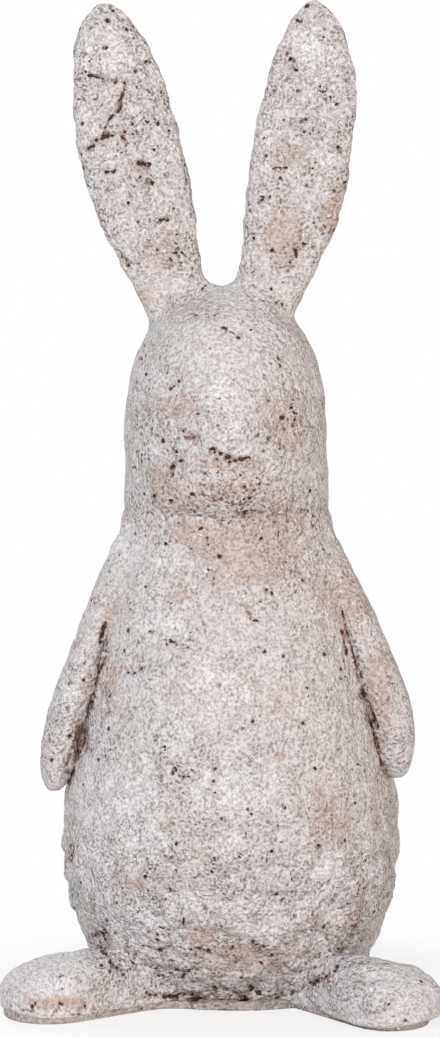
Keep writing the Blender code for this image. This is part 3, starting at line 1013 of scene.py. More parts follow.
# Pits, read from the photograph down from the ears: (column, row, radius in pixels[, depth in mm]).
PITS = (
    (112.6, 10.3, 1.2), (106.9, 20, 1.3), (126.3, 28.6, 1.3), (104.6, 48, 1.4), (133, 54.9, 0.8),
    (96.5, 77, 1.5), (101, 79.5, 1.3), (115, 81.5, 1.6), (122.5, 82.5, 1.8), (132, 123.4, 1.2),
    (125, 131.4, 1.3), (141, 163.4, 2.6, 1.4), (145.5, 164.5, 1.6), (137.5, 163, 1.4), (113.7, 170.3, 1.9),
    (138.9, 177, 1.2), (150.3, 182.9, 1.5), (146, 179.5, 1.2), (128.6, 202.3, 1.6), (137, 221.7, 1.2),
    (165, 219.6, 1.9, 1.2), (160.5, 222.5, 1.3), (148, 241, 1), (176.6, 249, 1.1), (126.3, 265, 2.2),
    (130, 268.5, 1.2), (202.9, 287.5, 1.6), (169.7, 130.3, 1.2), (154.9, 149.7, 1.3), (175.4, 201, 1),
    (173.5, 208, 0.9), (106, 136, 1.8), (289.7, 57.1, 2.6, 1.4), (286, 53.5, 1.6), (295.4, 70, 2),
    (323.6, 36, 1.3), (321.8, 40, 1.3), (297.7, 91.4, 1.2), (344.6, 81.1, 1.5), (282.9, 120, 1),
    (303.4, 131.4, 1.1), (338.9, 148.6, 2), (342, 152, 1.3), (264.3, 155.4, 1.2), (268, 152, 1),
    (273.7, 169, 1), (254.3, 174, 1.1), (258.6, 202.3, 1.6), (266.5, 197.5, 1.1), (252, 238.9, 1.2),
    (300, 231.5, 1.1), (336, 167.5, 1), (252, 270.9, 1.1), (261, 275.5, 0.9), (297.7, 20.6, 1.6),
    (305.7, 6.5, 1.8), (277, 302, 1.2),
    (204, 461.7, 1.5), (229.7, 462.9, 1.5), (221.5, 456.5, 1.5), (173, 460.5, 1.3), (197, 413, 1.5),
    (176.6, 381.4, 1.1), (171.2, 384.5, 1.3), (169, 389, 1.1), (166.3, 371.5, 1.4), (223, 326.2, 1.3),
    (278.6, 356.6, 1.2), (264, 375.4, 1.7), (270.9, 400.3, 1.2), (293, 407, 1.2), (283.7, 417.4, 1.3),
    (257, 435.2, 1.7, 1), (270.9, 439.7, 1.5), (263, 450.9, 1.2), (156, 413, 0.9), (158.6, 418.3, 0.9),
    (158.8, 422.6, 1), (145.7, 414, 1), (138, 427.7, 1.1), (156, 437, 1.3), (160.3, 440.6, 1.3),
    (132, 468, 1.3), (155.2, 497, 1.6), (154, 502.5, 1.1), (192, 493.7, 1.3), (222.9, 496.3, 1.9),
    (245, 488.6, 1.2), (250.3, 499.7, 1.8), (243.4, 514.3, 1.7), (202.3, 528, 1.4), (204.9, 536.6, 1.1),
    (165.4, 520.3, 1.2), (179, 525.4, 1.7), (138, 357.4, 1.1), (139.7, 343.7, 1.1), (150.3, 312.9, 1.2),
    (195.4, 313.7, 1.5), (214.3, 313.7, 1), (317, 523, 1.6), (181, 431, 1), (213, 451.5, 2.1, 1.4),
    (218, 454.6, 2.3, 1.5), (224.5, 457.6, 2, 1.4), (190, 437.5, 1.4), (215.5, 474, 1.2), (203, 475, 1.2),
    (279, 480, 0.9), (243, 319, 1.1),
    (188.9, 549.6, 1.2), (201.7, 529, 1.3), (205.6, 544.5, 1), (213, 548.5, 1), (212.3, 577.9, 1.3),
    (212.3, 584, 0.8), (266, 591, 1.6), (253.8, 554.7, 1.1), (264.7, 651, 1.2), (188.9, 639.6, 1.3),
    (182.4, 665.3, 1.2), (154.1, 740.6, 1.1), (157, 737.5, 1), (182.2, 776.8, 2.3, 1.2), (170.9, 763, 1.5),
    (213, 781.5, 1.6, 1), (214.9, 768.5, 1.6), (105.2, 711.6, 1.7), (84.2, 662.2, 1.3), (84.2, 681.5, 1.6),
    (61.5, 724.4, 1), (79.5, 666, 0.8), (126.6, 631, 1.6), (117.9, 553.5, 1.2), (318, 574.5, 1.2),
    (331, 731, 1.2), (117, 737.5, 1), (341, 679, 1.1), (292, 796, 1.1), (111.6, 883.5, 1.8),
    (142.9, 899, 1.4), (218.6, 866.6, 1.3), (145, 859.5, 1.4), (284.4, 808.8, 1.4), (223, 818.5, 1.5),
    (248, 809, 1.3), (320, 857, 1.2), (295.5, 879, 1.3), (281.8, 901, 1.2), (181, 978.5, 1.6),
    (244, 981, 1.3), (256.3, 946.5, 1.7), (259.5, 950.5, 1.3), (141.6, 947, 1.4), (156, 950.5, 1.4),
    (99, 934.5, 2), (97, 944, 1.7), (141, 1009, 0.8), (162, 852, 1), (333.5, 905, 1.2), (355, 927.7, 1.4),
    (346, 951, 1.1), (109, 972, 1.2), (200, 949.5, 1.4),
    (31.6, 1007.8, 1.8, 1), (35, 1005.5, 1.1), (61.3, 1003.5, 1.7, 1), (57, 1011.5, 1.5, 1),
    (86.4, 1006.3, 1.7, 1), (79, 1015.5, 0.9), (60, 975, 0.9), (405.4, 1022, 1.3), (394, 1016.5, 0.9),
    (374, 982, 0.9), (388, 1005, 0.9), (18, 992, 0.9),
)
# Cracks, read from the photograph: (corners, half width in pixels, depth in mm).
CRACKS = (
    (((89.7, 75.4), (103.4, 79.4), (114.9, 80.6), (126.3, 81.1)), 1.2, 1.1),
    (((76, 99.4), (86, 100.2), (95.4, 99.4)), 0.8, 0.6), (((124, 91.4), (121.5, 98)), 0.7, 0.7),
    (((120, 102), (119, 108), (115.5, 111)), 1.4, 1.2), (((112.5, 114.5), (107, 120.5)), 1, 1),
    (((105, 125.5), (103.8, 131.5)), 1.5, 1.2),
    (((106, 134), (98.3, 140), (91.3, 143.5), (87.4, 149.6)), 1.7, 1.2),
    (((112, 134.5), (118, 132.5)), 0.9, 0.8), (((120.5, 136), (126, 142.5)), 0.9, 0.8),
    (((126, 114), (133, 117.5)), 0.8, 0.6), (((136.5, 116), (141, 112)), 0.7, 0.6),
    (((134, 163), (141, 162.5), (149, 165)), 1.2, 1), (((106, 173), (113.7, 170.3)), 1, 0.8),
    (((137.5, 176), (143, 179.5), (151, 183.5)), 0.9, 0.8),
    (((136.6, 219), (138.5, 225.5), (144, 228.6)), 1, 0.8), (((154.5, 223), (165, 219.6)), 1, 0.8),
    (((137, 61.5), (144, 63), (151, 60.6)), 0.8, 0.6), (((118, 254), (124, 262), (129.5, 267.5)), 1.1, 0.9),
    (((293, 120.5), (300, 119.5), (307, 118)), 1, 0.8),
    (((298.9, 238), (294.3, 250), (297.7, 258.3)), 0.8, 0.7), (((260, 157.5), (268, 151.5)), 0.8, 0.6),
    (((274, 168), (281, 168.5), (291, 169)), 0.6, 0.4), (((258, 203), (268, 197)), 0.8, 0.6),
    (((211.5, 451.5), (219.4, 456), (228, 459.5)), 3.4, 1.8),
    (((228, 459.5), (238, 461.3), (247.5, 459.3)), 1.9, 1.2), (((172.3, 460.3), (179.5, 461.4)), 1.6, 1),
    (((171.4, 464.6), (168.6, 470), (167.8, 475.5)), 1.8, 1.2),
    (((223.7, 326.6), (238.3, 336.9), (252, 351.4)), 0.2, 0.4),
    (((278.6, 356.6), (281, 365), (283.7, 373.7)), 0.7, 0.6),
    (((240, 603.6), (250.6, 616.4), (259.6, 622.9)), 0.8, 0.7),
    (((127, 672.5), (134, 673.5), (140, 669)), 0.7, 0.6),
    (((147.7, 630.5), (160.5, 635.7), (170.9, 643.4), (180, 646)), 0.8, 0.9),
    (((173.5, 770), (182.2, 776.8), (189, 779)), 1.6, 1.1),
    (((141.4, 948), (150, 951.5), (166.6, 949.7)), 1.8, 1.3),
    (((188.6, 949.7), (200, 951.8), (213.7, 950)), 1.3, 1.1),
    (((253, 943.5), (257.5, 948.5), (263.5, 948)), 1.7, 1.1), (((270, 890.5), (277, 893.5)), 0.8, 0.6),
    (((246.7, 986.4), (252, 991.5), (259, 994)), 2, 1.2), (((69.6, 845), (68.4, 862)), 2.2, 1.2),
    (((103.5, 626), (101.5, 643)), 1.5, 1.4), (((93, 937), (102, 933.5)), 2.2, 1.3),
    (((160, 858), (172, 857.5)), 1.2, 0.9),
    (((90, 931), (98, 936), (102, 947), (112, 962), (126, 974)), 1.4, 1.3),
    (((112, 897), (134, 903), (155, 899)), 0.6, 0.7),
    (((150, 995), (166, 998.5), (186, 997), (204, 1000.5)), 1.3, 1.2),
    (((214, 990), (232, 993), (246, 999.5)), 1.5, 1.1),
    (((290, 994), (308, 985), (326, 974), (334, 966)), 1.8, 1.3),
    (((168, 968), (182, 973), (196, 970)), 1.2, 0.9), (((343, 631), (349, 655)), 0.9, 0.8),
    (((361, 695), (369, 712), (375, 727)), 0.9, 0.8),
)
# Patches, read from the photograph: (column, row, half width, half height, strength). First the
# tones of the paste: browner paste, which is also painted shade on the side away from the key lamp,
# under the chin and at the foot of the figure.
WARM_PATCHES = (
    (297, 150, 24, 34, 0.6), (285, 235, 26, 38, 0.9), (160, 250, 26, 42, 0.5), (120, 115, 14, 22, 0.5),
    (136, 170, 22, 22, 0.5), (185, 305, 32, 14, 0.6), (174, 405, 22, 16, 0.8), (192, 437, 14, 10, 0.7),
    (163, 480, 24, 22, 0.8), (285, 425, 26, 38, 0.8), (232, 490, 60, 14, 0.7), (268, 520, 46, 20, 1),
    (250, 552, 78, 48, 0.9), (192, 532, 34, 15, 1), (181, 597, 16, 10, 0.8), (345, 600, 26, 46, 0.9),
    (334, 215, 13, 40, 1), (140, 300, 14, 14, 0.9), (302, 300, 14, 14, 0.7), (220, 462, 72, 15, 0.55),
    (178, 500, 32, 24, 0.8), (60, 1004, 60, 10, 0.8), (382, 820, 18, 90, 0.5), (110, 610, 20, 24, 0.6),
    (108, 690, 14, 34, 0.7), (284, 700, 34, 30, 0.5), (380, 690, 20, 60, 0.9), (330, 820, 30, 60, 0.7),
    (201, 937, 17, 10, 1.3), (320.6, 918.3, 14, 14, 1.2), (133.6, 883.7, 10, 9, 1.1),
    (250, 955, 60, 26, 0.8), (350, 900, 22, 50, 0.8), (278.9, 757.9, 6, 7, 1.3), (95, 985, 26, 12, 0.5),
    (165, 828.7, 7, 7, 0.9), (322, 600, 16, 50, 0.5), (195, 800, 40, 12, 0.3),
)
# Whiter paste, which is also painted light on the lower belly and on the side towards the key lamp.
PALE_PATCHES = (
    (102, 58, 26, 20, 1.1), (90, 127, 13, 12, 0.9), (112, 158, 17, 12, 0.8), (110, 35, 16, 20, 0.6),
    (166, 150, 12, 26, 0.6), (125, 222, 14, 14, 0.8), (316, 52, 22, 34, 0.9), (325, 158, 10, 18, 0.9),
    (266, 140, 13, 50, 0.7), (226, 385, 32, 40, 0.6), (232, 432, 22, 18, 0.6), (232, 322, 34, 12, 0.5),
    (315, 388, 12, 12, 0.8), (152, 450, 18, 10, 0.7), (313, 472, 10, 8, 0.8), (286, 470, 12, 10, 0.5),
    (122, 545, 22, 24, 0.9), (166, 562, 22, 9, 0.9), (160, 625, 30, 20, 0.75), (216, 690, 50, 40, 0.6),
    (150, 690, 24, 40, 0.4), (236, 790, 60, 28, 0.9), (130, 800, 50, 50, 0.7), (200, 898, 22, 7, 1.2),
    (245, 905, 50, 8, 0.6), (60, 985, 40, 14, 0.6), (80, 668, 9, 20, 0.7), (376, 975, 38, 20, 0.7),
    (230, 850, 36, 18, 0.7), (310, 560, 12, 14, 0.6), (90, 850, 26, 60, 0.7), (105, 740, 16, 60, 0.5),
    (370, 870, 16, 50, 0.6), (68, 700, 14, 50, 0.8), (140, 925, 44, 34, 0.9), (270, 925, 50, 40, 0.6),
    (90, 780, 20, 30, 0.7), (330, 895, 36, 62, 0.85), (330, 60, 14, 30, 0.6), (92, 56, 16, 34, 0.7),
    (175, 745, 32, 62, 0.6), (150, 850, 40, 34, 0.7),
)
# Painted shade and dirt in hollows and creases, and a painted shadow under the chin.
SHADE_AND_DIRT_PATCHES = (
    (190, 405.5, 9, 4.5, 0.7), (187, 437.5, 8, 4, 0.7), (117, 81, 10, 4, 0.7), (118, 108, 6, 9, 0.7),
    (106, 128, 5, 9, 0.8), (92, 145, 9, 6, 0.9), (100.5, 664, 5, 16, 1.1), (80, 738, 9, 20, 1.3),
    (69, 766, 6, 14, 1.1), (252, 990, 9, 5, 0.9), (114, 966, 12, 8, 0.9), (215, 992, 78, 8, 0.65),
    (215, 1003, 60, 4, 0.6), (322, 978, 14, 8, 1.1), (150, 508, 40, 14, 0.6), (225, 500, 66, 15, 0.68),
    (290, 440, 22, 34, 0.3), (99, 937, 10, 7, 0.8), (345, 945, 8, 14, 0.5), (146, 424, 16, 22, 0.35),
    (355, 928, 4, 5, 0.9), (66, 850, 4, 12, 0.7), (128, 262, 7, 7, 0.8), (290, 58, 6, 5, 0.8),
    (176, 498, 28, 18, 0.4), (190, 510, 34, 10, 0.35), (340, 151, 4, 6, 0.8), (176, 306, 22, 10, 0.25),
    (60, 1012, 64, 7, 0.7), (336, 212, 8, 40, 0.35), (347, 600, 22, 44, 0.25), (215, 530, 60, 14, 0.2),
)
# Rougher and smoother mortar.
ROUGH_PATCHES = (
    (285, 430, 30, 46, 0.35), (232, 506, 84, 22, 0.5), (160, 440, 30, 50, 0.3), (215, 770, 70, 36, 0.35),
    (295, 560, 36, 36, 0.2), (68, 700, 26, 70, 0.3), (226, 352, 46, 38, -0.35), (288, 190, 32, 66, -0.3),
    (205, 545, 24, 26, 0.2), (375, 740, 20, 50, 0.2), (215, 900, 100, 60, 0.25), (215, 985, 80, 14, 0.4),
    (235, 505, 60, 14, 0.3), (320, 918, 14, 10, -0.5), (201, 937, 16, 9, -0.6),
)
# Hollows and swells of the front, by their depth in mm.
HOLLOWS = (
    (189, 406, 14, 8, 1.3), (186, 438, 12, 7, 1.1), (171, 384, 7, 10, 0.9), (228, 430, 26, 20, -1.6),
    (224, 372, 26, 30, -0.5), (234, 474, 40, 10, 1.5), (272, 408, 12, 30, 1.1), (164, 470, 12, 16, 0.9),
    (81, 738, 7, 24, 1.8), (101, 655, 5, 20, 1.2), (92, 696, 5, 18, 1), (68, 768, 5.5, 13, 1.2),
    (110, 118, 9, 20, 0.9), (113, 80, 18, 5, 0.7), (93, 144, 9, 8, 0.9), (141, 168, 12, 8, 0.8),
    (289, 60, 7, 9, 0.9), (66, 852, 5, 14, 1.4), (199, 924, 60, 9, -1.2), (199, 944, 60, 6, 1.3),
    (256, 988, 16, 7, 1), (100, 938, 10, 8, 1.6), (344, 946, 12, 12, 1.2), (196, 902, 50, 5, 0.8),
    (240, 615, 18, 12, 0.5), (165, 640, 24, 8, 0.6),
)
# Rust-orange grains and stains.
RUST_PATCHES = (
    (205.8, 855.4, 8, 3, 1), (188.6, 838, 3, 6, 0.9), (199.5, 736, 6, 5, 0.8), (62, 1003, 9, 4, 0.9),
    (185, 371, 4, 2, 0.8), (331.6, 725.7, 3.5, 7, 0.5), (116, 672, 5, 8, 0.5), (389, 781, 3, 3, 0.8),
    (210, 446, 4, 3, 0.3), (268, 519, 7, 6, 0.5), (155, 497, 5, 7, 0.6), (181, 465, 5, 4, 0.5),
)


def elliptic(patches: Sequence[Patch], places: Places) -> Iterator[tuple[float, Array]]:
    """Each patch's strength, and the square of the points' distance over its half sizes.

    Args:
        patches: the patches.
        places: where the points show.

    Returns:
        These two for one patch after the other.
    """
    columns, rows = places
    for column, row, half_width, half_height, strength in patches:
        across, down = (columns - column) / half_width, (rows - row) / half_height
        yield strength, across**2 + down**2


def swell(patches: Sequence[Patch], places: Places) -> Array:
    """The sum of soft patches, above or below 0: each a bell of its own strength."""
    return sum(strength * np.exp(-far) for strength, far in elliptic(patches, places))


@dataclass(frozen=True)
class FrontMarks:
    """The single marks of this figurine's front, laid on by their place in the photograph.

    A mark is shrink narrower than it was read, its mask falls off over ramp pixels, and its floor
    has floor_share of its radius. Noise breaks up a crack's mask between the two crack_limits. A
    patch fades by its falloff.
    """

    ramp: float = 2.6
    shrink: float = 0.2
    floor_share: float = 0.3
    crack_share: float = 0.95
    crack_breaks: float = 1.9
    crack_limits: Pair = (0.35, 1.25)
    falloff: float = 1.1
    fraying: float = 0.5

    def holes(self, places: Places, stray: Array, gaps: Array) -> tuple[Array, Array]:
        """Pits and cracks.

        A mark's mask falls evenly through one half at its edge, (radius + ramp - distance) over
        twice the ramp, so the finish can draw that edge finer than the mesh.

        Args:
            places: where the points show.
            stray: pixels by which the marks' edges wander in and out.
            gaps: noise that breaks cracks up, where it is below 0.

        Returns:
            The mask of all the marks, and the depth of the surface under it in millimetres.
        """
        columns, rows = places
        mask, depth = np.zeros(columns.shape), np.zeros(columns.shape)
        pits = [Mark((row[:2],), *row[2:]) for row in PITS]
        for mark in pits + [Mark(*row) for row in CRACKS]:
            ends = np.array(mark.corners, float)
            radius = max(mark.half_width - self.shrink, 0.0)
            room = radius + self.ramp
            low, high = ends.min(0) - room, ends.max(0) + room
            near = (columns > low[0]) & (columns < high[0]) & (rows > low[1]) & (rows < high[1])
            if not near.any():
                continue
            here = np.stack([columns[near], rows[near]], -1)
            far = np.full(len(here), np.inf)
            for start, end in zip(ends, ends[1:] if len(ends) > 1 else ends):
                line = end - start
                along = np.clip(dot(here - start, line) / max(dot(line, line), 1e-9), 0.0, 1.0)
                far = np.minimum(far, np.linalg.norm(here - start - along[:, None] * line, axis=-1))
            far = np.maximum(far + stray[near], 0.0)
            value = np.clip((room - far) / (2 * self.ramp), 0.0, 1.0)
            if len(ends) > 1:
                value *= np.clip(self.crack_share + self.crack_breaks * gaps[near], *self.crack_limits)
            sunk = mark.depth * between(far, room, radius * self.floor_share)
            mask[near] = np.maximum(mask[near], value)
            depth[near] = np.maximum(depth[near], sunk)
        return mask, depth

    def tone(self, patches: Sequence[Patch], places: Places, fray: Array) -> Array:
        """Soft-edged patches: each falls off with the square of its elliptic distance, frayed by noise.

        Args:
            patches: the patches.
            places: where the points show.
            fray: noise that frays the patches' edges.

        Returns:
            The strength of the strongest patch at each point.
        """
        total = np.zeros(places[0].shape)
        for strength, far in elliptic(patches, places):
            fade = -self.falloff * far * (1.0 + self.fraying * fray)
            total = np.maximum(total, strength * np.exp(fade))
        return total

@dataclass
class Weathering:
    """The relief that the mould and the weather left in the mortar, in millimetres.

    A size is a wavelength of noise. A zone is where a part of the figurine begins and where it is
    in full, by height or by distance from the middle.
    """

    lump_size: float = 30.0
    lump_height: float = 0.7
    wave_size: float = 10.5
    wave_height: float = 0.4
    wave_shares: Pair = (0.4, 0.7)
    grit_size: float = 3.2
    grit_height: float = 0.3
    grit_power: float = 1.5
    fray_size: float = 7.0
    fraying: float = 0.9
    flake_size: float = 10.0
    flake_height: float = 0.28
    flake_steepness: float = 5.0
    plate_size: Triple = (8.5, 8.5, 6.0)
    plate_height: float = 1.3
    plate_bend: float = 1.6
    plate_shares: Pair = (0.25, 0.75)
    settle: float = 0.35
    ledge_size: Triple = (22.0, 22.0, 8.5)
    ledge_height: float = 0.6
    ledge_steepness: float = 4.5
    ledge_zones: Pairs = ((96.0, 60.0), (4.0, 14.0))

    # How rough the mortar is, and where it is rougher or smoother.
    plain_rough: float = 0.55
    ear_rough: float = 0.45
    ear_zone: Pair = (300.0, 322.0)
    belly_rough: float = 0.5
    belly_zones: Pairs = ((100.0, 50.0), (2.0, 16.0))
    arm_rough: float = 0.15
    arm_zone: Pair = (58.0, 70.0)
    arm_zones: Pairs = ((60.0, 90.0), (190.0, 170.0))
    foot_smooth: float = 0.75
    foot_zone: Pair = (56.0, 70.0)
    instep_zone: Pair = (40.0, 30.0)
    rough_drift: float = 0.12
    rough_drift_size: float = 45.0

    # Pixels by which marks and their edges wander, with the sizes of that noise.
    wander: float = 1.8
    wander_sizes: Pair = (4.2, 3.6)
    edge_wander: float = 1.5
    edge_size: float = 2.3
    break_size: float = 3.4
    seen_limits: Pair = (0.02, 0.2)

    # Scattered pits: their share of the cells, and how many fewer stand where the photograph looks.
    pit_spacing: float = 6.0
    pit_radius: float = 0.7
    pit_depth: float = 0.8
    pit_ramp: float = 1.1
    pit_floor: float = 0.2
    pit_chance: float = 0.05
    rough_pit_chance: float = 0.35
    rough_pits_from: float = 0.45
    fewer_seen: float = 0.6
    # A lot times this gives a second lot, which sets the size.
    second_lot: float = 37.0

    # Painted shade in creases, dirt and painted shade in hollows, and the drifts of tone, then the marks
    # and the noises themselves.
    crease_size: float = 5.0
    crease_breaks: Pair = (0.62, 0.9)
    # Painted shade: a thin dark line along each crease.
    crease_dark: float = 0.75
    # Dirt and painted shade along the creases.
    crease_dirt: float = 0.95
    level_steps: int = 3
    # Dirt and painted shade where the relief lies below its surroundings.
    shelter_depths: Pair = (0.08, 0.55)
    shelter_dirt: float = 0.4
    drift_size: float = 19.0
    marks: FrontMarks = field(default_factory=FrontMarks)
    noises: list[SpaceNoise] = field(default_factory=lambda: [SpaceNoise(seed) for seed in range(11, 18)])
    pits: PitNoise = field(default_factory=lambda: PitNoise(5))

    def rough_at(self, points: Array) -> Array:
        """How rough the mortar is: most on the ears and the lower belly, least on the feet.

        Args:
            points: places in millimetres.

        Returns:
            Roughness from 0.2 to 1.15.
        """
        across, height = np.abs(points[..., 0] - LINE.x), points[..., 2]
        ears = between(height, *self.ear_zone)
        belly = between(height, *self.belly_zones[0]) * between(height, *self.belly_zones[1])
        arms = between(across, *self.arm_zone) * between(height, *self.arm_zones[0])
        feet = between(across, *self.foot_zone) * between(height, *self.instep_zone)
        rough = self.plain_rough + self.ear_rough * ears + self.belly_rough * belly
        rough += self.arm_rough * arms * between(height, *self.arm_zones[1])
        drift = self.noises[0].at(points, self.rough_drift_size)
        return np.clip(rough - self.foot_smooth * feet + self.rough_drift * drift, 0.2, 1.15)

    def relief(self, points: Array, rough: Array, fray: Array) -> Array:
        """How high the mortar's own relief stands: lumps, waves, grit, flakes, ledges and plates.

        Args:
            points: the points.
            rough: how rough the mortar is there.
            fray: noise that frays the steps of flakes and ledges.

        Returns:
            The heights, around 0.
        """
        sizes = self.lump_size, self.wave_size, self.grit_size
        lumps, waves, grit = (noise.at(points, size) for noise, size in zip(self.noises[1:4], sizes))
        sizes = self.flake_size, self.ledge_size
        flakes, ledges = (noise.at(points, size) for noise, size in zip(self.noises[5:7], sizes))
        height = points[..., 2]
        belly = between(height, *self.ledge_zones[0]) * between(height, *self.ledge_zones[1])
        plain, more = self.wave_shares
        out = self.lump_height * lumps + self.wave_height * (plain + more * rough) * waves
        out += self.grit_height * rough**self.grit_power * grit
        out += self.flake_height * rough * np.tanh(self.flake_steepness * flakes + self.fraying * fray)
        out += self.ledge_height * belly * np.tanh(self.ledge_steepness * ledges + self.fraying * fray)
        bent = points + self.plate_bend * fray[..., None]
        plates = np.sqrt(np.abs(self.noises[2].at(bent, self.plate_size)))
        everywhere, low_down = self.plate_shares
        out += self.plate_height * (plates - 0.5) * (everywhere * rough + low_down * belly)
        return out

    def scattered(self, points: Array, rough: Array, seen: Array) -> tuple[Array, Array]:
        """Pits in some cells of space, more where it is rough.

        Args:
            points: the points.
            rough: how rough the mortar is there.
            seen: how much the photograph shows of them.

        Returns:
            The pits' mask, and their depth in millimetres.
        """
        far, lot = self.pits.at(points, self.pit_spacing)
        rougher = np.clip(rough - self.rough_pits_from, 0.0, 1.0)
        chance = (self.pit_chance + self.rough_pit_chance * rougher) * (1.0 - self.fewer_seen * seen)
        kept = lot < chance
        radius = self.pit_radius * (0.5 + (lot * self.second_lot) % 1.0)
        room = radius + self.pit_ramp
        mask = np.clip((room - far) / (2 * self.pit_ramp), 0.0, 1.0) * kept
        return mask, self.pit_depth * between(far, room, self.pit_floor * radius) * kept

    def sheltered(self, relief: Array) -> Array:
        """Where the relief lies below the mean of what is round it: there dirt and painted shade are laid
        on.

        Args:
            relief: how far the surface was moved out.

        Returns:
            Shares from 0 to 1.
        """
        level, steps = relief, self.level_steps
        for axis in (0, 1):
            level = sum(np.roll(level, step, axis) for step in range(-steps, steps + 1)) / (2 * steps + 1)
        return between(level - relief, *self.shelter_depths)

    def wear(self, surface: Surface, strength: float) -> dict[str, Array]:
        """Moves a surface in or out along its normals, and says what shows where.

        Args:
            surface: the grid, whose points are moved.
            strength: this casting's share of the full relief.

        Returns:
            The masks that the finish reads: dark, which is painted shade in holes and creases; dirt with
                painted shade; warm paste, partly painted shade; pale paste, partly painted light; rust and
                rough.
        """
        points = surface.points
        fray = self.noises[4].at(points, self.fray_size)
        # Cracks and edges wander by a few pixels, as the mortar broke.
        noises = zip((self.noises[0], self.noises[6]), self.wander_sizes)
        places = tuple(
            at + self.wander * noise.at(points, size)
            for at, (noise, size) in zip(VIEW.pixels(points), noises)
        )
        seen = between(VIEW.facing(points, surface.normals), *self.seen_limits)
        rough = self.rough_at(points) + swell(ROUGH_PATCHES, places) * seen
        rough = np.clip(rough, 0.15, 1.25)

        stray = self.edge_wander * self.noises[1].at(points, self.edge_size)
        gaps = self.noises[3].at(points, self.break_size)
        holes, depth = self.marks.holes(places, stray, gaps)
        pits, pit_depth = self.scattered(points, rough, seen)
        # A broken line along each crease, painted as shade.
        share, more = self.crease_breaks
        broken = np.clip(share + more * self.noises[4].at(points, self.crease_size), 0.0, 1.0)
        broken = surface.crease**2 * broken
        sunk = np.maximum(depth * seen, pit_depth)
        relief = (self.relief(points, rough, fray) - self.settle) * strength - sunk
        relief = relief - swell(HOLLOWS, places) * seen
        surface.points = points + surface.normals * relief[..., None]

        # Painted shade and dirt in hollows and creases, and a painted shadow under the chin.
        dirt = self.marks.tone(SHADE_AND_DIRT_PATCHES, places, fray) * seen
        # Painted shade where the relief lies low.
        dirt = np.maximum(dirt, self.shelter_dirt * self.sheltered(relief))
        # Behind and at the sides, where the photograph shows nothing, the tones are drifts of noise.
        drift = self.noises[0].at(points, self.drift_size)
        # Browner paste, and painted shade on the side away from the key lamp, under the chin and at the
        # foot.
        warm = self.marks.tone(WARM_PATCHES, places, fray) * seen
        # Whiter paste, and painted light on the lower belly and on the side towards the key lamp.
        pale = self.marks.tone(PALE_PATCHES, places, fray) * seen
        return {
            # Near-black painted shade in air holes, cracks and along the creases.
            "dark": np.maximum(np.maximum(holes * seen, pits), self.crease_dark * broken),
            # Dirt and painted shade along the creases.
            "dirt": np.maximum(dirt, self.crease_dirt * surface.crease),
            "warm": np.maximum(warm, (0.6 - 0.4 * seen) * between(drift, 0.0, 0.9)),
            "pale": np.maximum(pale, (0.75 - 0.5 * seen) * between(drift, 0.0, -0.8)),
            "rust": self.marks.tone(RUST_PATCHES, places, fray) * seen,
            "rough": np.clip(rough, 0.0, 1.2),
        }


def linear(code: str) -> Rgba:
    """A colour written as sRGB hex, as linear red, green and blue with full opacity."""
    shares = [int(code[i : i + 2], 16) / 255.0 for i in (0, 2, 4)]
    return (*(s / 12.92 if s <= 0.04045 else ((s + 0.055) / 1.055) ** 2.4 for s in shares), 1.0)


def add_node(tree: bpy.types.NodeTree, kind: str, settings: dict, inputs: dict) -> bpy.types.Node:
    """Adds one node with its settings and links.

    Args:
        tree: the node tree.
        kind: the node's type, without the prefix that all shader nodes share.
        settings: the node's properties by name.
        inputs: a value, an output or a node (for its first output in use) by socket.

    Returns:
        The node.
    """
    made = tree.nodes.new("ShaderNode" + kind)
    for name, value in settings.items():
        setattr(made, name, value)
    for name, value in inputs.items():
        if isinstance(value, bpy.types.Node):
            value = next(output for output in value.outputs if output.enabled)
        if isinstance(value, bpy.types.NodeSocket):
            tree.links.new(value, made.inputs[name])
        else:
            made.inputs[name].default_value = value
    return made


def start_material(name: str, constants: dict[str, object]) -> tuple:
    """Makes a material with a plain shader.

    Args:
        name: the real material's name.
        constants: the shader's constants by socket.

    Returns:
        The material, its shader, and a function that adds a node beside it.
    """
    material = bpy.data.materials.new(name)
    material.use_nodes = True
    shader = material.node_tree.nodes["Principled BSDF"]
    for socket, value in constants.items():
        shader.inputs[socket].default_value = value
    return material, shader, partial(add_node, material.node_tree)


def placed(name: str, data: bpy.types.ID) -> bpy.types.Object:
    """Makes an object of a mesh, a lamp or a camera, and links it to the scene.

    Args:
        name: the object's name.
        data: what it shows.

    Returns:
        The object.
    """
    made = bpy.data.objects.new(name, data)
    bpy.context.scene.collection.objects.link(made)
    return made


MULTIPLY = {"operation": "MULTIPLY"}
MULTIPLY_ADD = {"operation": "MULTIPLY_ADD"}
MAXIMUM = {"operation": "MAXIMUM"}
LESS_THAN = {"operation": "LESS_THAN"}
SMOOTH = {"interpolation_type": "SMOOTHSTEP"}
BLEND = {"data_type": "RGBA"}
SHADE = {"data_type": "RGBA", "blend_type": "MULTIPLY"}

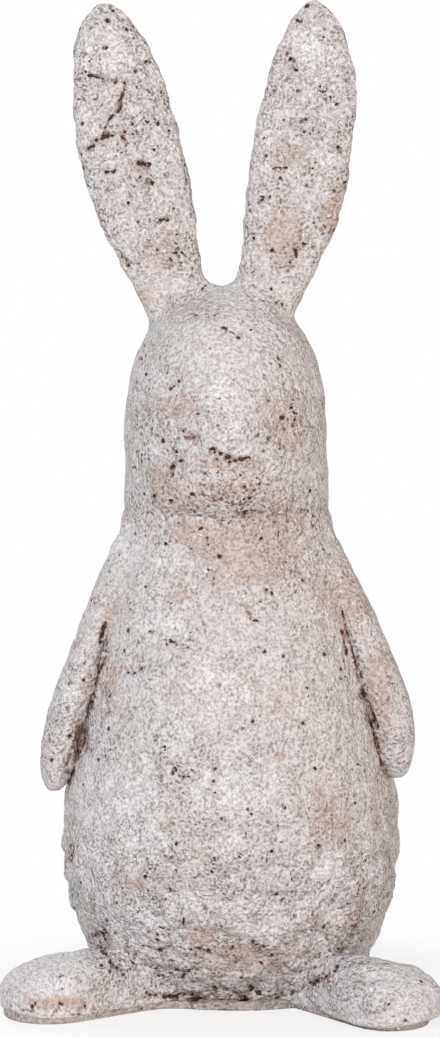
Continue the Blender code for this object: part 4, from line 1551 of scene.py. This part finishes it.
# Masks by the sockets of a map range: where each begins and is full, then the values there.
RAMPS = {
    "pin": {1: 1.25, 2: 0.75}, "pin_rim": {1: 2.1, 2: 1.1, 4: 0.45},
    "measured": {1: 0.50, 2: 0.70, 4: 0.92}, "rim": {1: 0.20, 2: 0.50, 4: 0.7},
    "crumbly": {1: 0.50, 2: 0.66}, "broken": {1: 0.78, 2: 0.84},
    "broken_rim": {1: 0.71, 2: 0.80, 4: 0.55}, "sand": {1: 0.74, 2: 1.24},
    "quartz": {1: 0.27, 2: 0.14, 4: 0.85}, "specks": {1: 0.77, 2: 0.67},
    "groups": {1: 0.42, 2: 0.62, 3: 0.15, 4: 0.85}, "tan": {1: 0.22, 2: 0.10},
    "stain": {1: 1.15, 2: 1.55, 4: 0.75}, "dirt": {1: -1.30, 2: -0.45, 4: 0.85},
    "drift": {1: 0.36, 2: 0.64, 3: 0.65, 4: 1.25}, "rust": {1: 0.5, 2: 0.75},
    "floor": {1: 0.07, 2: 0.17, 3: 0.72, 4: 1.0},
}
# Mixed patterns: what each is multiplied by, and what is added to it where that is a number.
WEIGHTS = {
    "pin_size": {1: 0.13, 2: 0.07}, "torn_sand": {1: 0.7}, "torn": {1: 2.5, 2: -1.12},
    "crumbled": {1: 0.13}, "bare": {1: -0.8, 2: 1.0}, "stained": {1: 1.4}, "dirty_sand": {1: -1.6},
    "dirty_lumps": {1: -2.0}, "coarse": {1: 1.0, 2: 0.35}, "crumbs": {1: 1.2},
}


@dataclass(frozen=True)
class CementMortar:
    """Cement mortar, cast in a rough mould and left bare.

    To the eye: matt pale grey paste, knobbly with sand, with drifts of browner and whiter paste
    that are partly painted shade and light, painted shade and light on the low and high sand, brown
    dirt and painted shade in its hollows, tan grains here and there, and air holes painted almost
    black with their shade.
    """

    name: str
    base: str = "D7D4D4"
    warm: str = "C9BCB6"
    pale: str = "E6E5E7"
    speck: str = "84685B"
    # Brown for dirt, and for painted shade in hollows and creases.
    dirt: str = "835E4D"
    # Near-black painted shade in air holes and cracks.
    hole: str = "30170F"
    tan: str = "CFA88E"
    quartz: str = "FBFAF9"
    # Painted shade on the low sand and painted light on the high sand.
    low_sand_shade: Rgba = (0.79, 0.755, 0.74, 1.0)
    high_sand_light: Rgba = (1.1, 1.1, 1.105, 1.0)
    roughness: float = 0.92
    specular: float = 0.25
    pinholes: float = 1.0
    pin_chance: float = 0.19
    quartz_chance: float = 0.2
    tan_chance: float = 0.012
    hole_cover: float = 0.93
    # Noise patterns: their size in millimetres, and their octaves.
    sizes: tuple[tuple[str, float, float], ...] = (
        ("grit", 0.9, 0.0), ("sand", 1.4, 0.0), ("lumps", 2.2, 0.0), ("ragged", 2.0, 1.0),
        ("crumbs", 4.6, 1.0), ("clouds", 6.5, 3.0), ("clusters", 9.0, 2.0),
    )
    # Cells: their size in millimetres, and how far their edges are bent.
    cells: tuple[tuple[str, float], ...] = (("pin", 4.5), ("grain", 2.6))
    bend: float = 0.7
    # Heights of the patterns in millimetres.
    heights: tuple[tuple[str, float], ...] = (
        ("lumps", 0.9), ("sand", 1.25), ("grain", -0.2), ("grit", 0.65), ("white", 0.3),
        ("pale_share", 0.12), ("rim", -0.1), ("hole", -1.1),
    )

    def patterns(self, node: AddNode) -> dict[str, object]:
        """The masks, noises and cells that colour and relief share, in object space.

        Args:
            node: adds a node.

        Returns:
            Outputs by name. A pattern's scale is one over its size in metres.
        """
        place = node("TexCoord", {}, {}).outputs["Object"]
        made = {}
        for name, size, octaves in self.sizes:
            ways = {"Vector": place, "Scale": 1.0 / (size * MM), "Detail": octaves, "Roughness": 0.6}
            made[name] = node("TexNoise", {}, ways)
        for name in ("dark", "dirt", "warm", "pale", "rust", "rough"):
            made[name] = node("Attribute", {"attribute_name": name}, {}).outputs["Fac"]
        # The cells are bent, so that what is drawn round their middles is never quite round.
        bend = {0: made["ragged"].outputs[1], 1: (2 * self.bend * MM,) * 3, 2: place}
        bent = node("VectorMath", MULTIPLY_ADD, bend)
        for name, size in self.cells:
            cells = node("TexVoronoi", {}, {"Vector": bent, "Scale": 1.0 / (size * MM)})
            lots = node("SeparateColor", {}, {0: cells.outputs["Color"]})
            made[name] = cells.outputs["Distance"]
            made[name + "_lot"], made[name + "_size"], made[name + "_kind"] = lots.outputs
        return made

    def holes(self, node: AddNode, made: Patterns) -> None:
        """Adds the air holes, painted near-black as their shade, and their brown rims to the patterns.

        Pinholes 0.6 to 2 mm across stand in some of the 4.5 mm cells, more where it is rough. The
        measured holes' edge is where their mask passes about 0.6, torn by the sand and by 2 mm
        noise. Crumbled spots are where 9 mm clusters and 2 mm noise both peak.

        Args:
            node: adds a node.
            made: the patterns by name.
        """
        many = node("Math", MULTIPLY, {0: made["rough"], 1: self.pin_chance * self.pinholes})
        kept = node("Math", LESS_THAN, {0: made["pin_lot"], 1: many})
        size = node("Math", MULTIPLY, {0: made["pin_size"], 1: made["pin_size"]})
        size = node("Math", MULTIPLY_ADD, {0: size, **WEIGHTS["pin_size"]})
        edge = node("Math", {"operation": "DIVIDE"}, {0: made["pin"], 1: size})
        torn = node("Math", MULTIPLY_ADD, {0: made["sand"], **WEIGHTS["torn_sand"], 2: made["ragged"]})
        torn = node("Math", MULTIPLY_ADD, {0: torn, **WEIGHTS["torn"]})
        torn = node("Math", MULTIPLY, {0: torn, 1: made["dark"]})
        crumbly = node("MapRange", SMOOTH, {0: made["clusters"], **RAMPS["crumbly"]})
        crumbly = node("Math", MULTIPLY, {0: crumbly, 1: made["rough"]})
        crumbled = node("Math", MULTIPLY_ADD, {0: crumbly, **WEIGHTS["crumbled"], 2: made["ragged"]})
        kinds = {"hole": ("measured", "pin", "broken"), "rim": ("rim", "pin_rim", "broken_rim")}
        for name, ramps in kinds.items():
            pairs = zip((torn, edge, crumbled), ramps)
            masks = [node("MapRange", SMOOTH, {0: mask, **RAMPS[ramp]}) for mask, ramp in pairs]
            pin = node("Math", MULTIPLY, {0: kept, 1: masks[1]})
            both = node("Math", MAXIMUM, {0: pin, 1: masks[2]})
            made[name] = node("Math", MAXIMUM, {0: masks[0], 1: both})

    def paste(self, node: AddNode, made: Patterns) -> bpy.types.Node:
        """The paste's colour, with drifts of browner and whiter paste that are partly painted shade and
        light, and the sand in it with painted shade and light.

        Args:
            node: adds a node.
            made: the patterns by name.

        Returns:
            The colour's node.
        """
        colour = node("RGB", {}, {})
        colour.outputs[0].default_value = linear(self.base)
        # The drifts are measured masks whose edges 6.5 mm clouds break up.
        # The warm masks are partly painted shade and the pale ones partly painted light.
        for name, tint, noise in (("warm", self.warm, 1.4), ("pale", self.pale, -1.3)):
            edge = node("Math", MULTIPLY_ADD, {0: made["clouds"], 1: noise, 2: made[name]})
            edge = node("Math", MULTIPLY_ADD, {0: made["lumps"], 1: noise / 4, 2: edge})
            middle = 0.45 + noise * 0.625
            share = node("MapRange", SMOOTH, {0: edge, 1: middle - 0.22, 2: middle + 0.30, 4: 0.9})
            made[name + "_share"] = share
            colour = node("Mix", BLEND, {0: share, 6: colour, 7: linear(tint)})
        # Sand: painted shade on the low grains, which are browner, and painted light on the high ones,
        # which are whiter; the same noise raises the relief.
        made["grains"] = node("Math", {"operation": "ADD"}, {0: made["sand"], 1: made["grit"]})
        grains = node("MapRange", SMOOTH, {0: made["grains"], **RAMPS["sand"]})
        shade = node("Mix", BLEND, {0: grains, 6: self.low_sand_shade, 7: self.high_sand_light})
        return node("Mix", SHADE, {0: 1.0, 6: colour, 7: shade})

    def colour(self, node: AddNode, made: Patterns) -> bpy.types.Node:
        """Lays the finish's colours over each other: paste, grains, specks, stains, dirt with painted
        shade, and holes painted with their shade.

        Args:
            node: adds a node.
            made: the patterns by name.

        Returns:
            The colour's node.
        """
        colour = self.paste(node, made)
        # White grains of quartz about 1 mm across, in one cell of five.
        few = node("Math", LESS_THAN, {0: made["grain_lot"], 1: self.quartz_chance})
        near = node("MapRange", SMOOTH, {0: made["grain"], **RAMPS["quartz"]})
        made["white"] = node("Math", MULTIPLY, {0: few, 1: near})
        # Brown specks, partly painted shade, where both sand patterns and so the relief are low, in
        # wandering clusters, more where it is rough.
        specks = node("MapRange", SMOOTH, {0: made["grains"], **RAMPS["specks"]})
        groups = node("MapRange", SMOOTH, {0: made["clusters"], **RAMPS["groups"]})
        groups = node("Math", MULTIPLY, {0: groups, 1: made["rough"]})
        bare = node("Math", MULTIPLY_ADD, {0: made["pale_share"], **WEIGHTS["bare"]})
        groups = node("Math", MULTIPLY, {0: groups, 1: bare})
        specks = node("Math", MULTIPLY, {0: specks, 1: groups})
        # Tan grains of sand 1 to 2 mm across, in one cell of eighty, and the measured rust stains.
        few = node("Math", LESS_THAN, {0: made["pin_kind"], 1: self.tan_chance})
        near = node("MapRange", SMOOTH, {0: made["pin"], **RAMPS["tan"]})
        tan = node("Math", MULTIPLY, {0: few, 1: near})
        stain = node("Math", MULTIPLY_ADD, {0: made["lumps"], **WEIGHTS["stained"], 2: made["rust"]})
        stain = node("MapRange", SMOOTH, {0: stain, **RAMPS["stain"]})
        tan = node("Math", MAXIMUM, {0: tan, 1: stain})
        # Dirt and painted shade in hollows and creases, crumbled by the sand and the lumps, and more where
        # they are low.
        dirt = node("Math", MULTIPLY_ADD, {0: made["sand"], **WEIGHTS["dirty_sand"], 2: made["dirt"]})
        dirt = node("Math", MULTIPLY_ADD, {0: made["lumps"], **WEIGHTS["dirty_lumps"], 2: dirt})
        dirt = node("MapRange", SMOOTH, {0: dirt, **RAMPS["dirt"]})
        dirt = node("Math", MAXIMUM, {0: dirt, 1: made["rim"]})
        # Air holes and cracks are painted near-black: painted shade.
        dark = node("Math", MULTIPLY, {0: made["hole"], 1: self.hole_cover})
        layers = ((made["white"], self.quartz), (specks, self.speck), (tan, self.tan),
                  (dirt, self.dirt), (dark, self.hole))
        for share, tint in layers:
            colour = node("Mix", BLEND, {0: share, 6: colour, 7: linear(tint)})
        return colour

    def height(self, node: AddNode, made: Patterns) -> bpy.types.Node:
        """The relief too fine for the mesh, in millimetres: each pattern times its height, summed.

        Args:
            node: adds a node.
            made: the patterns by name.

        Returns:
            The height's node.
        """
        coarse = node("Math", MULTIPLY_ADD, {0: made["rough"], **WEIGHTS["coarse"]})
        drift = node("MapRange", SMOOTH, {0: made["clusters"], **RAMPS["drift"]})
        coarse = node("Math", MULTIPLY, {0: coarse, 1: drift})
        coarser = {
            name: node("Math", MULTIPLY, {0: made[name], 1: coarse})
            for name in ("crumbs", "lumps", "sand", "grain", "grit")
        }
        height = node("Math", MULTIPLY, {0: coarser["crumbs"], **WEIGHTS["crumbs"]})
        for name, rise in self.heights:
            pattern = coarser.get(name, made[name])
            height = node("Math", MULTIPLY_ADD, {0: pattern, 1: rise, 2: height})
        return height

    def make(self) -> bpy.types.Material:
        """Builds the finish.

        Returns:
            The material.
        """
        constants = {"Roughness": self.roughness, "Specular IOR Level": self.specular}
        material, shader, node = start_material(self.name, constants)
        made = self.patterns(node)
        self.holes(node, made)
        material.node_tree.links.new(self.colour(node, made).outputs[2], shader.inputs["Base Color"])
        bump = {"Strength": 1.0, "Distance": MM, "Height": self.height(node, made)}
        material.node_tree.links.new(node("Bump", {}, bump).outputs[0], shader.inputs["Normal"])
        return material


@dataclass(frozen=True)
class DrawnSteel:
    """Drawn mild steel bar.

    To the eye: grey metal with fine lines from drawing and a little brown rust bloom. Its patterns
    are counted per metre.
    """

    name: str = "drawn_mild_steel"
    bright: str = "8E8B88"
    rust: str = "7A5A46"
    roughness: float = 0.45
    blooms: float = 250.0
    lines: float = 3300.0
    line_depth: float = 0.05

    def make(self) -> bpy.types.Material:
        """Builds the finish: rust bloom in clouds, and drawing lines.

        Returns:
            The material.
        """
        constants = {"Metallic": 1.0, "Roughness": self.roughness}
        material, shader, node = start_material(self.name, constants)
        links = material.node_tree.links
        place = node("TexCoord", {}, {}).outputs["Object"]
        clouds = node("TexNoise", {}, {"Vector": place, "Scale": self.blooms, "Detail": 3.0})
        share = node("MapRange", SMOOTH, {0: clouds, **RAMPS["rust"]})
        colour = node("Mix", BLEND, {0: share, 6: linear(self.bright), 7: linear(self.rust)})
        links.new(colour.outputs[2], shader.inputs["Base Color"])
        lines = node("TexNoise", {}, {"Vector": place, "Scale": self.lines, "Detail": 1.0})
        relief = node("Bump", {}, {"Strength": 0.3, "Distance": self.line_depth * MM, "Height": lines})
        links.new(relief.outputs[0], shader.inputs["Normal"])
        return material


def closed_mesh(name: str, surface: Surface, masks: dict[str, Array]) -> bpy.types.Object:
    """Makes a mesh of a grid that closes along its columns, with a point at either end.

    Args:
        name: the object's name.
        surface: the grid, in millimetres.
        masks: values for each point of the grid; the end points take their row's mean.

    Returns:
        The object, with its faces outwards and smooth.
    """
    rows, columns = surface.points.shape[:2]
    start, end = surface.points[0].mean(0), surface.points[-1].mean(0)
    points = np.concatenate([surface.points.reshape(-1, 3), [start, end]]) * MM
    index = np.arange(rows * columns).reshape(rows, columns)
    beside = np.roll(index, -1, 1)
    quads = np.stack([index[:-1], beside[:-1], beside[1:], index[1:]], -1).reshape(-1, 4)
    first, last = rows * columns, rows * columns + 1
    foot = np.stack([np.full(columns, first), beside[0], index[0]], -1)
    top = np.stack([np.full(columns, last), index[-1], beside[-1]], -1)
    corners = points[quads]
    volume = dot(np.cross(corners[:, 0], corners[:, 1]), corners[:, 2] + corners[:, 3]).sum()
    faces = [quads, foot, top]
    if volume < 0:
        faces = [group[:, ::-1] for group in faces]
    mesh = bpy.data.meshes.new(name)
    mesh.from_pydata(points.tolist(), [], [face for group in faces for face in group.tolist()])
    for mask_name, values in masks.items():
        attribute = mesh.attributes.new(mask_name, "FLOAT", "POINT")
        ends = [values[0].mean(), values[-1].mean()]
        attribute.data.foreach_set("value", np.concatenate([values.reshape(-1), ends]).astype(np.float32))
    mesh.shade_smooth()
    return placed(name, mesh)


def constant_size(size: float) -> SizeAt:
    """A fillet of one size all along."""
    return lambda points: np.full(points.shape[:-1], size)


def ear_fillet(points: Array) -> Array:
    """The ears run together over the crown in a wide fillet, and meet the temples more sharply."""
    return 3.5 + 6.5 * between(np.abs(points[..., 0] - LINE.at(300.0)[0]), 30.0, 16.0)


def arm_fillet(points: Array) -> Array:
    """The arms run out of the shoulders in a wide fillet, and further down lie in a sharp crease."""
    # The crease starts 14 mm lower on the rabbit's right.
    start = 167.0 - 14.0 * (points[..., 0] < LINE.x)
    return 1.4 + 8.0 * between(points[..., 2] - start, 0.0, 28.0)


@dataclass
class Figurine:
    """The whole figurine: its castings, their fillets and their finishes."""

    weathering: Weathering = field(default_factory=Weathering)
    castings: list[Casting] = field(default_factory=list)
    neck_fillet: float = 5.0
    foot_fillet: float = 3.0
    tail_fillet: float = 1.8

    def plan(self) -> None:
        """Sets out the castings and says which run into each other."""
        trunk = Trunk("trunk_mortar", ("trunk",), rows=236, columns=404, reach=95.0)
        head = Head("head_mortar", ("head",), rows=212, columns=420, reach=95.0)
        tail = Tail("tail_mortar", ("tail",), rows=80, columns=120, reach=30.0, trunk=trunk)
        right = Side.RIGHT
        ear = {"slot": "mortar_ear", "rows": 270, "columns": 240, "reach": 36.0, "roughness": 1.1}
        arm = {"slot": "mortar_arm", "rows": 200, "columns": 190, "reach": 34.0, "trunk": trunk}
        foot = {**arm, "slot": "mortar_foot", "reach": 40.0, "roughness": 0.9}
        ears = [
            Ear("ear_left_mortar", ("ear_left",), **ear),
            Ear("ear_right_mortar", ("ear_right",), **ear, side=right, length=142.3, half_width=22.2,
                spread=17.2, root_tilt=math.radians(21.2), tip_tilt=math.radians(7.2)),
        ]
        arms = [
            Arm("arm_left_mortar", ("arm_left",), **arm),
            Arm("arm_right_mortar", ("arm_right",), **arm, side=right, turn=math.radians(12.0),
                half_width=10.0, half_depth=13.0, length=110.0, hand_standoff=5.4, lift_end=0.8,
                hand_curl=0.0),
        ]
        feet = [
            Foot("foot_left_mortar", ("foot_left",), **foot),
            Foot("foot_right_mortar", ("foot_right",), **foot, side=right, turn=math.radians(31.5),
                 half_width=20.5, narrowing=0.12, toe_drop=0.35, standout=64.3, rim=1.6),
        ]
        slab = Slab("base_slab_mortar", ("base_slab",), slot="mortar_slab", columns=900, roughness=0.3,
                    trunk=trunk, feet=tuple(feet))
        neck, rump, instep = map(constant_size, (self.neck_fillet, self.tail_fillet, self.foot_fillet))
        pairs = [(trunk, head, neck), (trunk, tail, rump)]
        pairs += [(head, each, ear_fillet) for each in ears]
        pairs += [(trunk, each, arm_fillet) for each in arms]
        pairs += [(trunk, each, instep) for each in feet]
        for one, other, size in pairs:
            one.fillets.append((other, size))
            other.fillets.append((one, size))
        self.castings = [trunk, head, *ears, *arms, *feet, tail, slab]

    def build(self) -> None:
        """Makes every casting's mesh and dresses it."""
        body = CementMortar("cast_cement_mortar_body")
        finishes = {
            "mortar_body": body.make(),
            "mortar_ear": CementMortar("cast_cement_mortar_ear", pinholes=1.2).make(),
            "mortar_arm": CementMortar("cast_cement_mortar_arm").make(),
            "mortar_foot": CementMortar("cast_cement_mortar_foot", base="DCDBDC", pinholes=0.5).make(),
            "mortar_slab": CementMortar("trowelled_cement_mortar_slab", base="BCB5B1", pinholes=0.3).make(),
        }
        for casting in self.castings:
            surface = casting.surface()
            floor = surface.points[..., 2].min()
            masks = self.weathering.wear(surface, casting.roughness)
            surface.points[..., 2] = np.maximum(surface.points[..., 2], floor)
            piece = closed_mesh(casting.name, surface, masks)
            piece.data.materials.append(finishes[casting.slot])
            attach(piece, "root")
            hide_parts(*casting.nodes)
            LOG.info("%s: %d points", casting.name, len(piece.data.vertices))

    def dress_steel(self) -> None:
        """Gives the steel rods and dowels, which lie inside the mortar, their finish."""
        steel = DrawnSteel().make()
        for name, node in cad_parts.items():
            if "rod" in name or "dowel" in name:
                for place in node.material_slots:
                    place.material = steel
                LOG.info("%s: drawn steel", name)


@dataclass(frozen=True)
class Lamp:
    """A square area lamp: its place, its aim, its side in metres, its power and its colour."""

    name: str
    place: Triple
    aim: Triple
    side: float
    power: float
    colour: str

    def make(self) -> None:
        """Hangs the lamp and turns it to its aim."""
        data = bpy.data.lights.new(self.name, "AREA")
        data.size, data.energy, data.color = self.side, self.power, linear(self.colour)[:3]
        lamp = placed(self.name, data)
        lamp.location = self.place
        way = Vector(self.aim) - Vector(self.place)
        lamp.rotation_euler = way.to_track_quat("-Z", "Y").to_euler()


@dataclass(frozen=True)
class Studio:
    """A plain pale floor, the photograph's camera, and three lamps.

    The key lamp is at the upper left, the fill lamp at the right and the third behind.
    """

    floor_size: float = 3.0
    floor_corners: int = 96
    floor_colour: str = "F6F5F4"
    ambient: float = 0.35
    ambient_colour: str = "FFFEFD"
    lamps: tuple[Lamp, ...] = (
        Lamp("key", (-0.8, -1.8, 1.4), (0.0, 0.0, 0.22), 0.5, 27.2, "FCFCFF"),
        Lamp("fill", (1.5, -1.5, 0.2), (0.0, 0.0, 0.15), 1.2, 21.2, "FFEFE2"),
        Lamp("back", (-0.7, 1.7, 1.9), (0.0, 0.0, 0.2), 0.8, 18.0, "FFFFFF"),
    )

    def make_floor(self) -> None:
        """A round floor that keeps the shadow near the figure and fades to white for the camera."""
        turn = math.tau * np.arange(self.floor_corners) / self.floor_corners
        ring = np.stack([np.cos(turn), np.sin(turn), np.zeros(len(turn))], -1) * self.floor_size
        mesh = bpy.data.meshes.new("floor")
        mesh.from_pydata(ring.tolist(), [], [list(range(len(turn)))])
        floor = placed("floor", mesh)
        constants = {"Base Color": linear(self.floor_colour), "Roughness": 1.0, "Specular IOR Level": 0.0}
        material, paper, node = start_material("matt_white_paper", constants)
        place = node("TexCoord", {}, {}).outputs["Object"]
        far = node("VectorMath", {"operation": "LENGTH"}, {0: place}).outputs["Value"]
        away = node("MapRange", SMOOTH, {0: far, **RAMPS["floor"]})
        share = node("Math", MULTIPLY, {0: away, 1: self.any_view(node)})
        white = node("Emission", {}, {"Strength": 1.0})
        mixed = node("MixShader", {}, {0: share, 1: paper, 2: white})
        tree = material.node_tree
        tree.links.new(mixed.outputs[0], tree.nodes["Material Output"].inputs["Surface"])
        mesh.materials.append(material)

    def any_view(self, node: AddNode) -> bpy.types.Node:
        """1 for rays from the camera, in a reflection or through glass.

        Args:
            node: adds a node.

        Returns:
            The node that gives it.
        """
        seen = node("LightPath", {}, {}).outputs
        share = node("Math", MAXIMUM, {0: seen["Is Camera Ray"], 1: seen["Is Glossy Ray"]})
        return node("Math", MAXIMUM, {0: share, 1: seen["Is Transmission Ray"]})

    def make_world(self) -> None:
        """Soft light from all round, and plain white where it is looked at."""
        world = bpy.data.worlds.new("soft_room")
        bpy.context.scene.world = world
        world.use_nodes = True
        tree = world.node_tree
        node = partial(add_node, tree)
        room = tree.nodes["Background"]
        room.inputs["Color"].default_value = linear(self.ambient_colour)
        room.inputs["Strength"].default_value = self.ambient
        white = node("Background", {}, {"Color": (1.0, 1.0, 1.0, 1.0), "Strength": 1.0})
        mixed = node("MixShader", {}, {0: self.any_view(node), 1: room, 2: white})
        tree.links.new(mixed.outputs[0], tree.nodes["World Output"].inputs["Surface"])

    def make_camera(self) -> None:
        """The photograph's camera: its focal length in pixels over the frame's height."""
        data = bpy.data.cameras.new("camera")
        data.sensor_fit, data.sensor_height = "VERTICAL", 36.0
        data.lens = VIEW.focal * data.sensor_height / VIEW.height
        camera = placed("camera", data)
        camera.location = VIEW.eye * MM
        below = math.atan((VIEW.height / 2 - VIEW.middle_row) / VIEW.focal)
        camera.rotation_euler = (math.pi / 2 - VIEW.downward - below, 0.0, 0.0)
        bpy.context.scene.camera = camera

    def make(self) -> None:
        """Sets up the whole studio."""
        self.make_camera()
        self.make_world()
        self.make_floor()
        for lamp in self.lamps:
            lamp.make()
        bpy.context.scene.view_settings.view_transform = "Standard"


def main() -> None:
    """Builds the figurine and its studio."""
    logging.basicConfig(level=logging.INFO, format="%(name)s: %(message)s")
    figurine = Figurine()
    figurine.plan()
    figurine.build()
    figurine.dress_steel()
    Studio().make()


if __name__ == "__main__":
    main()
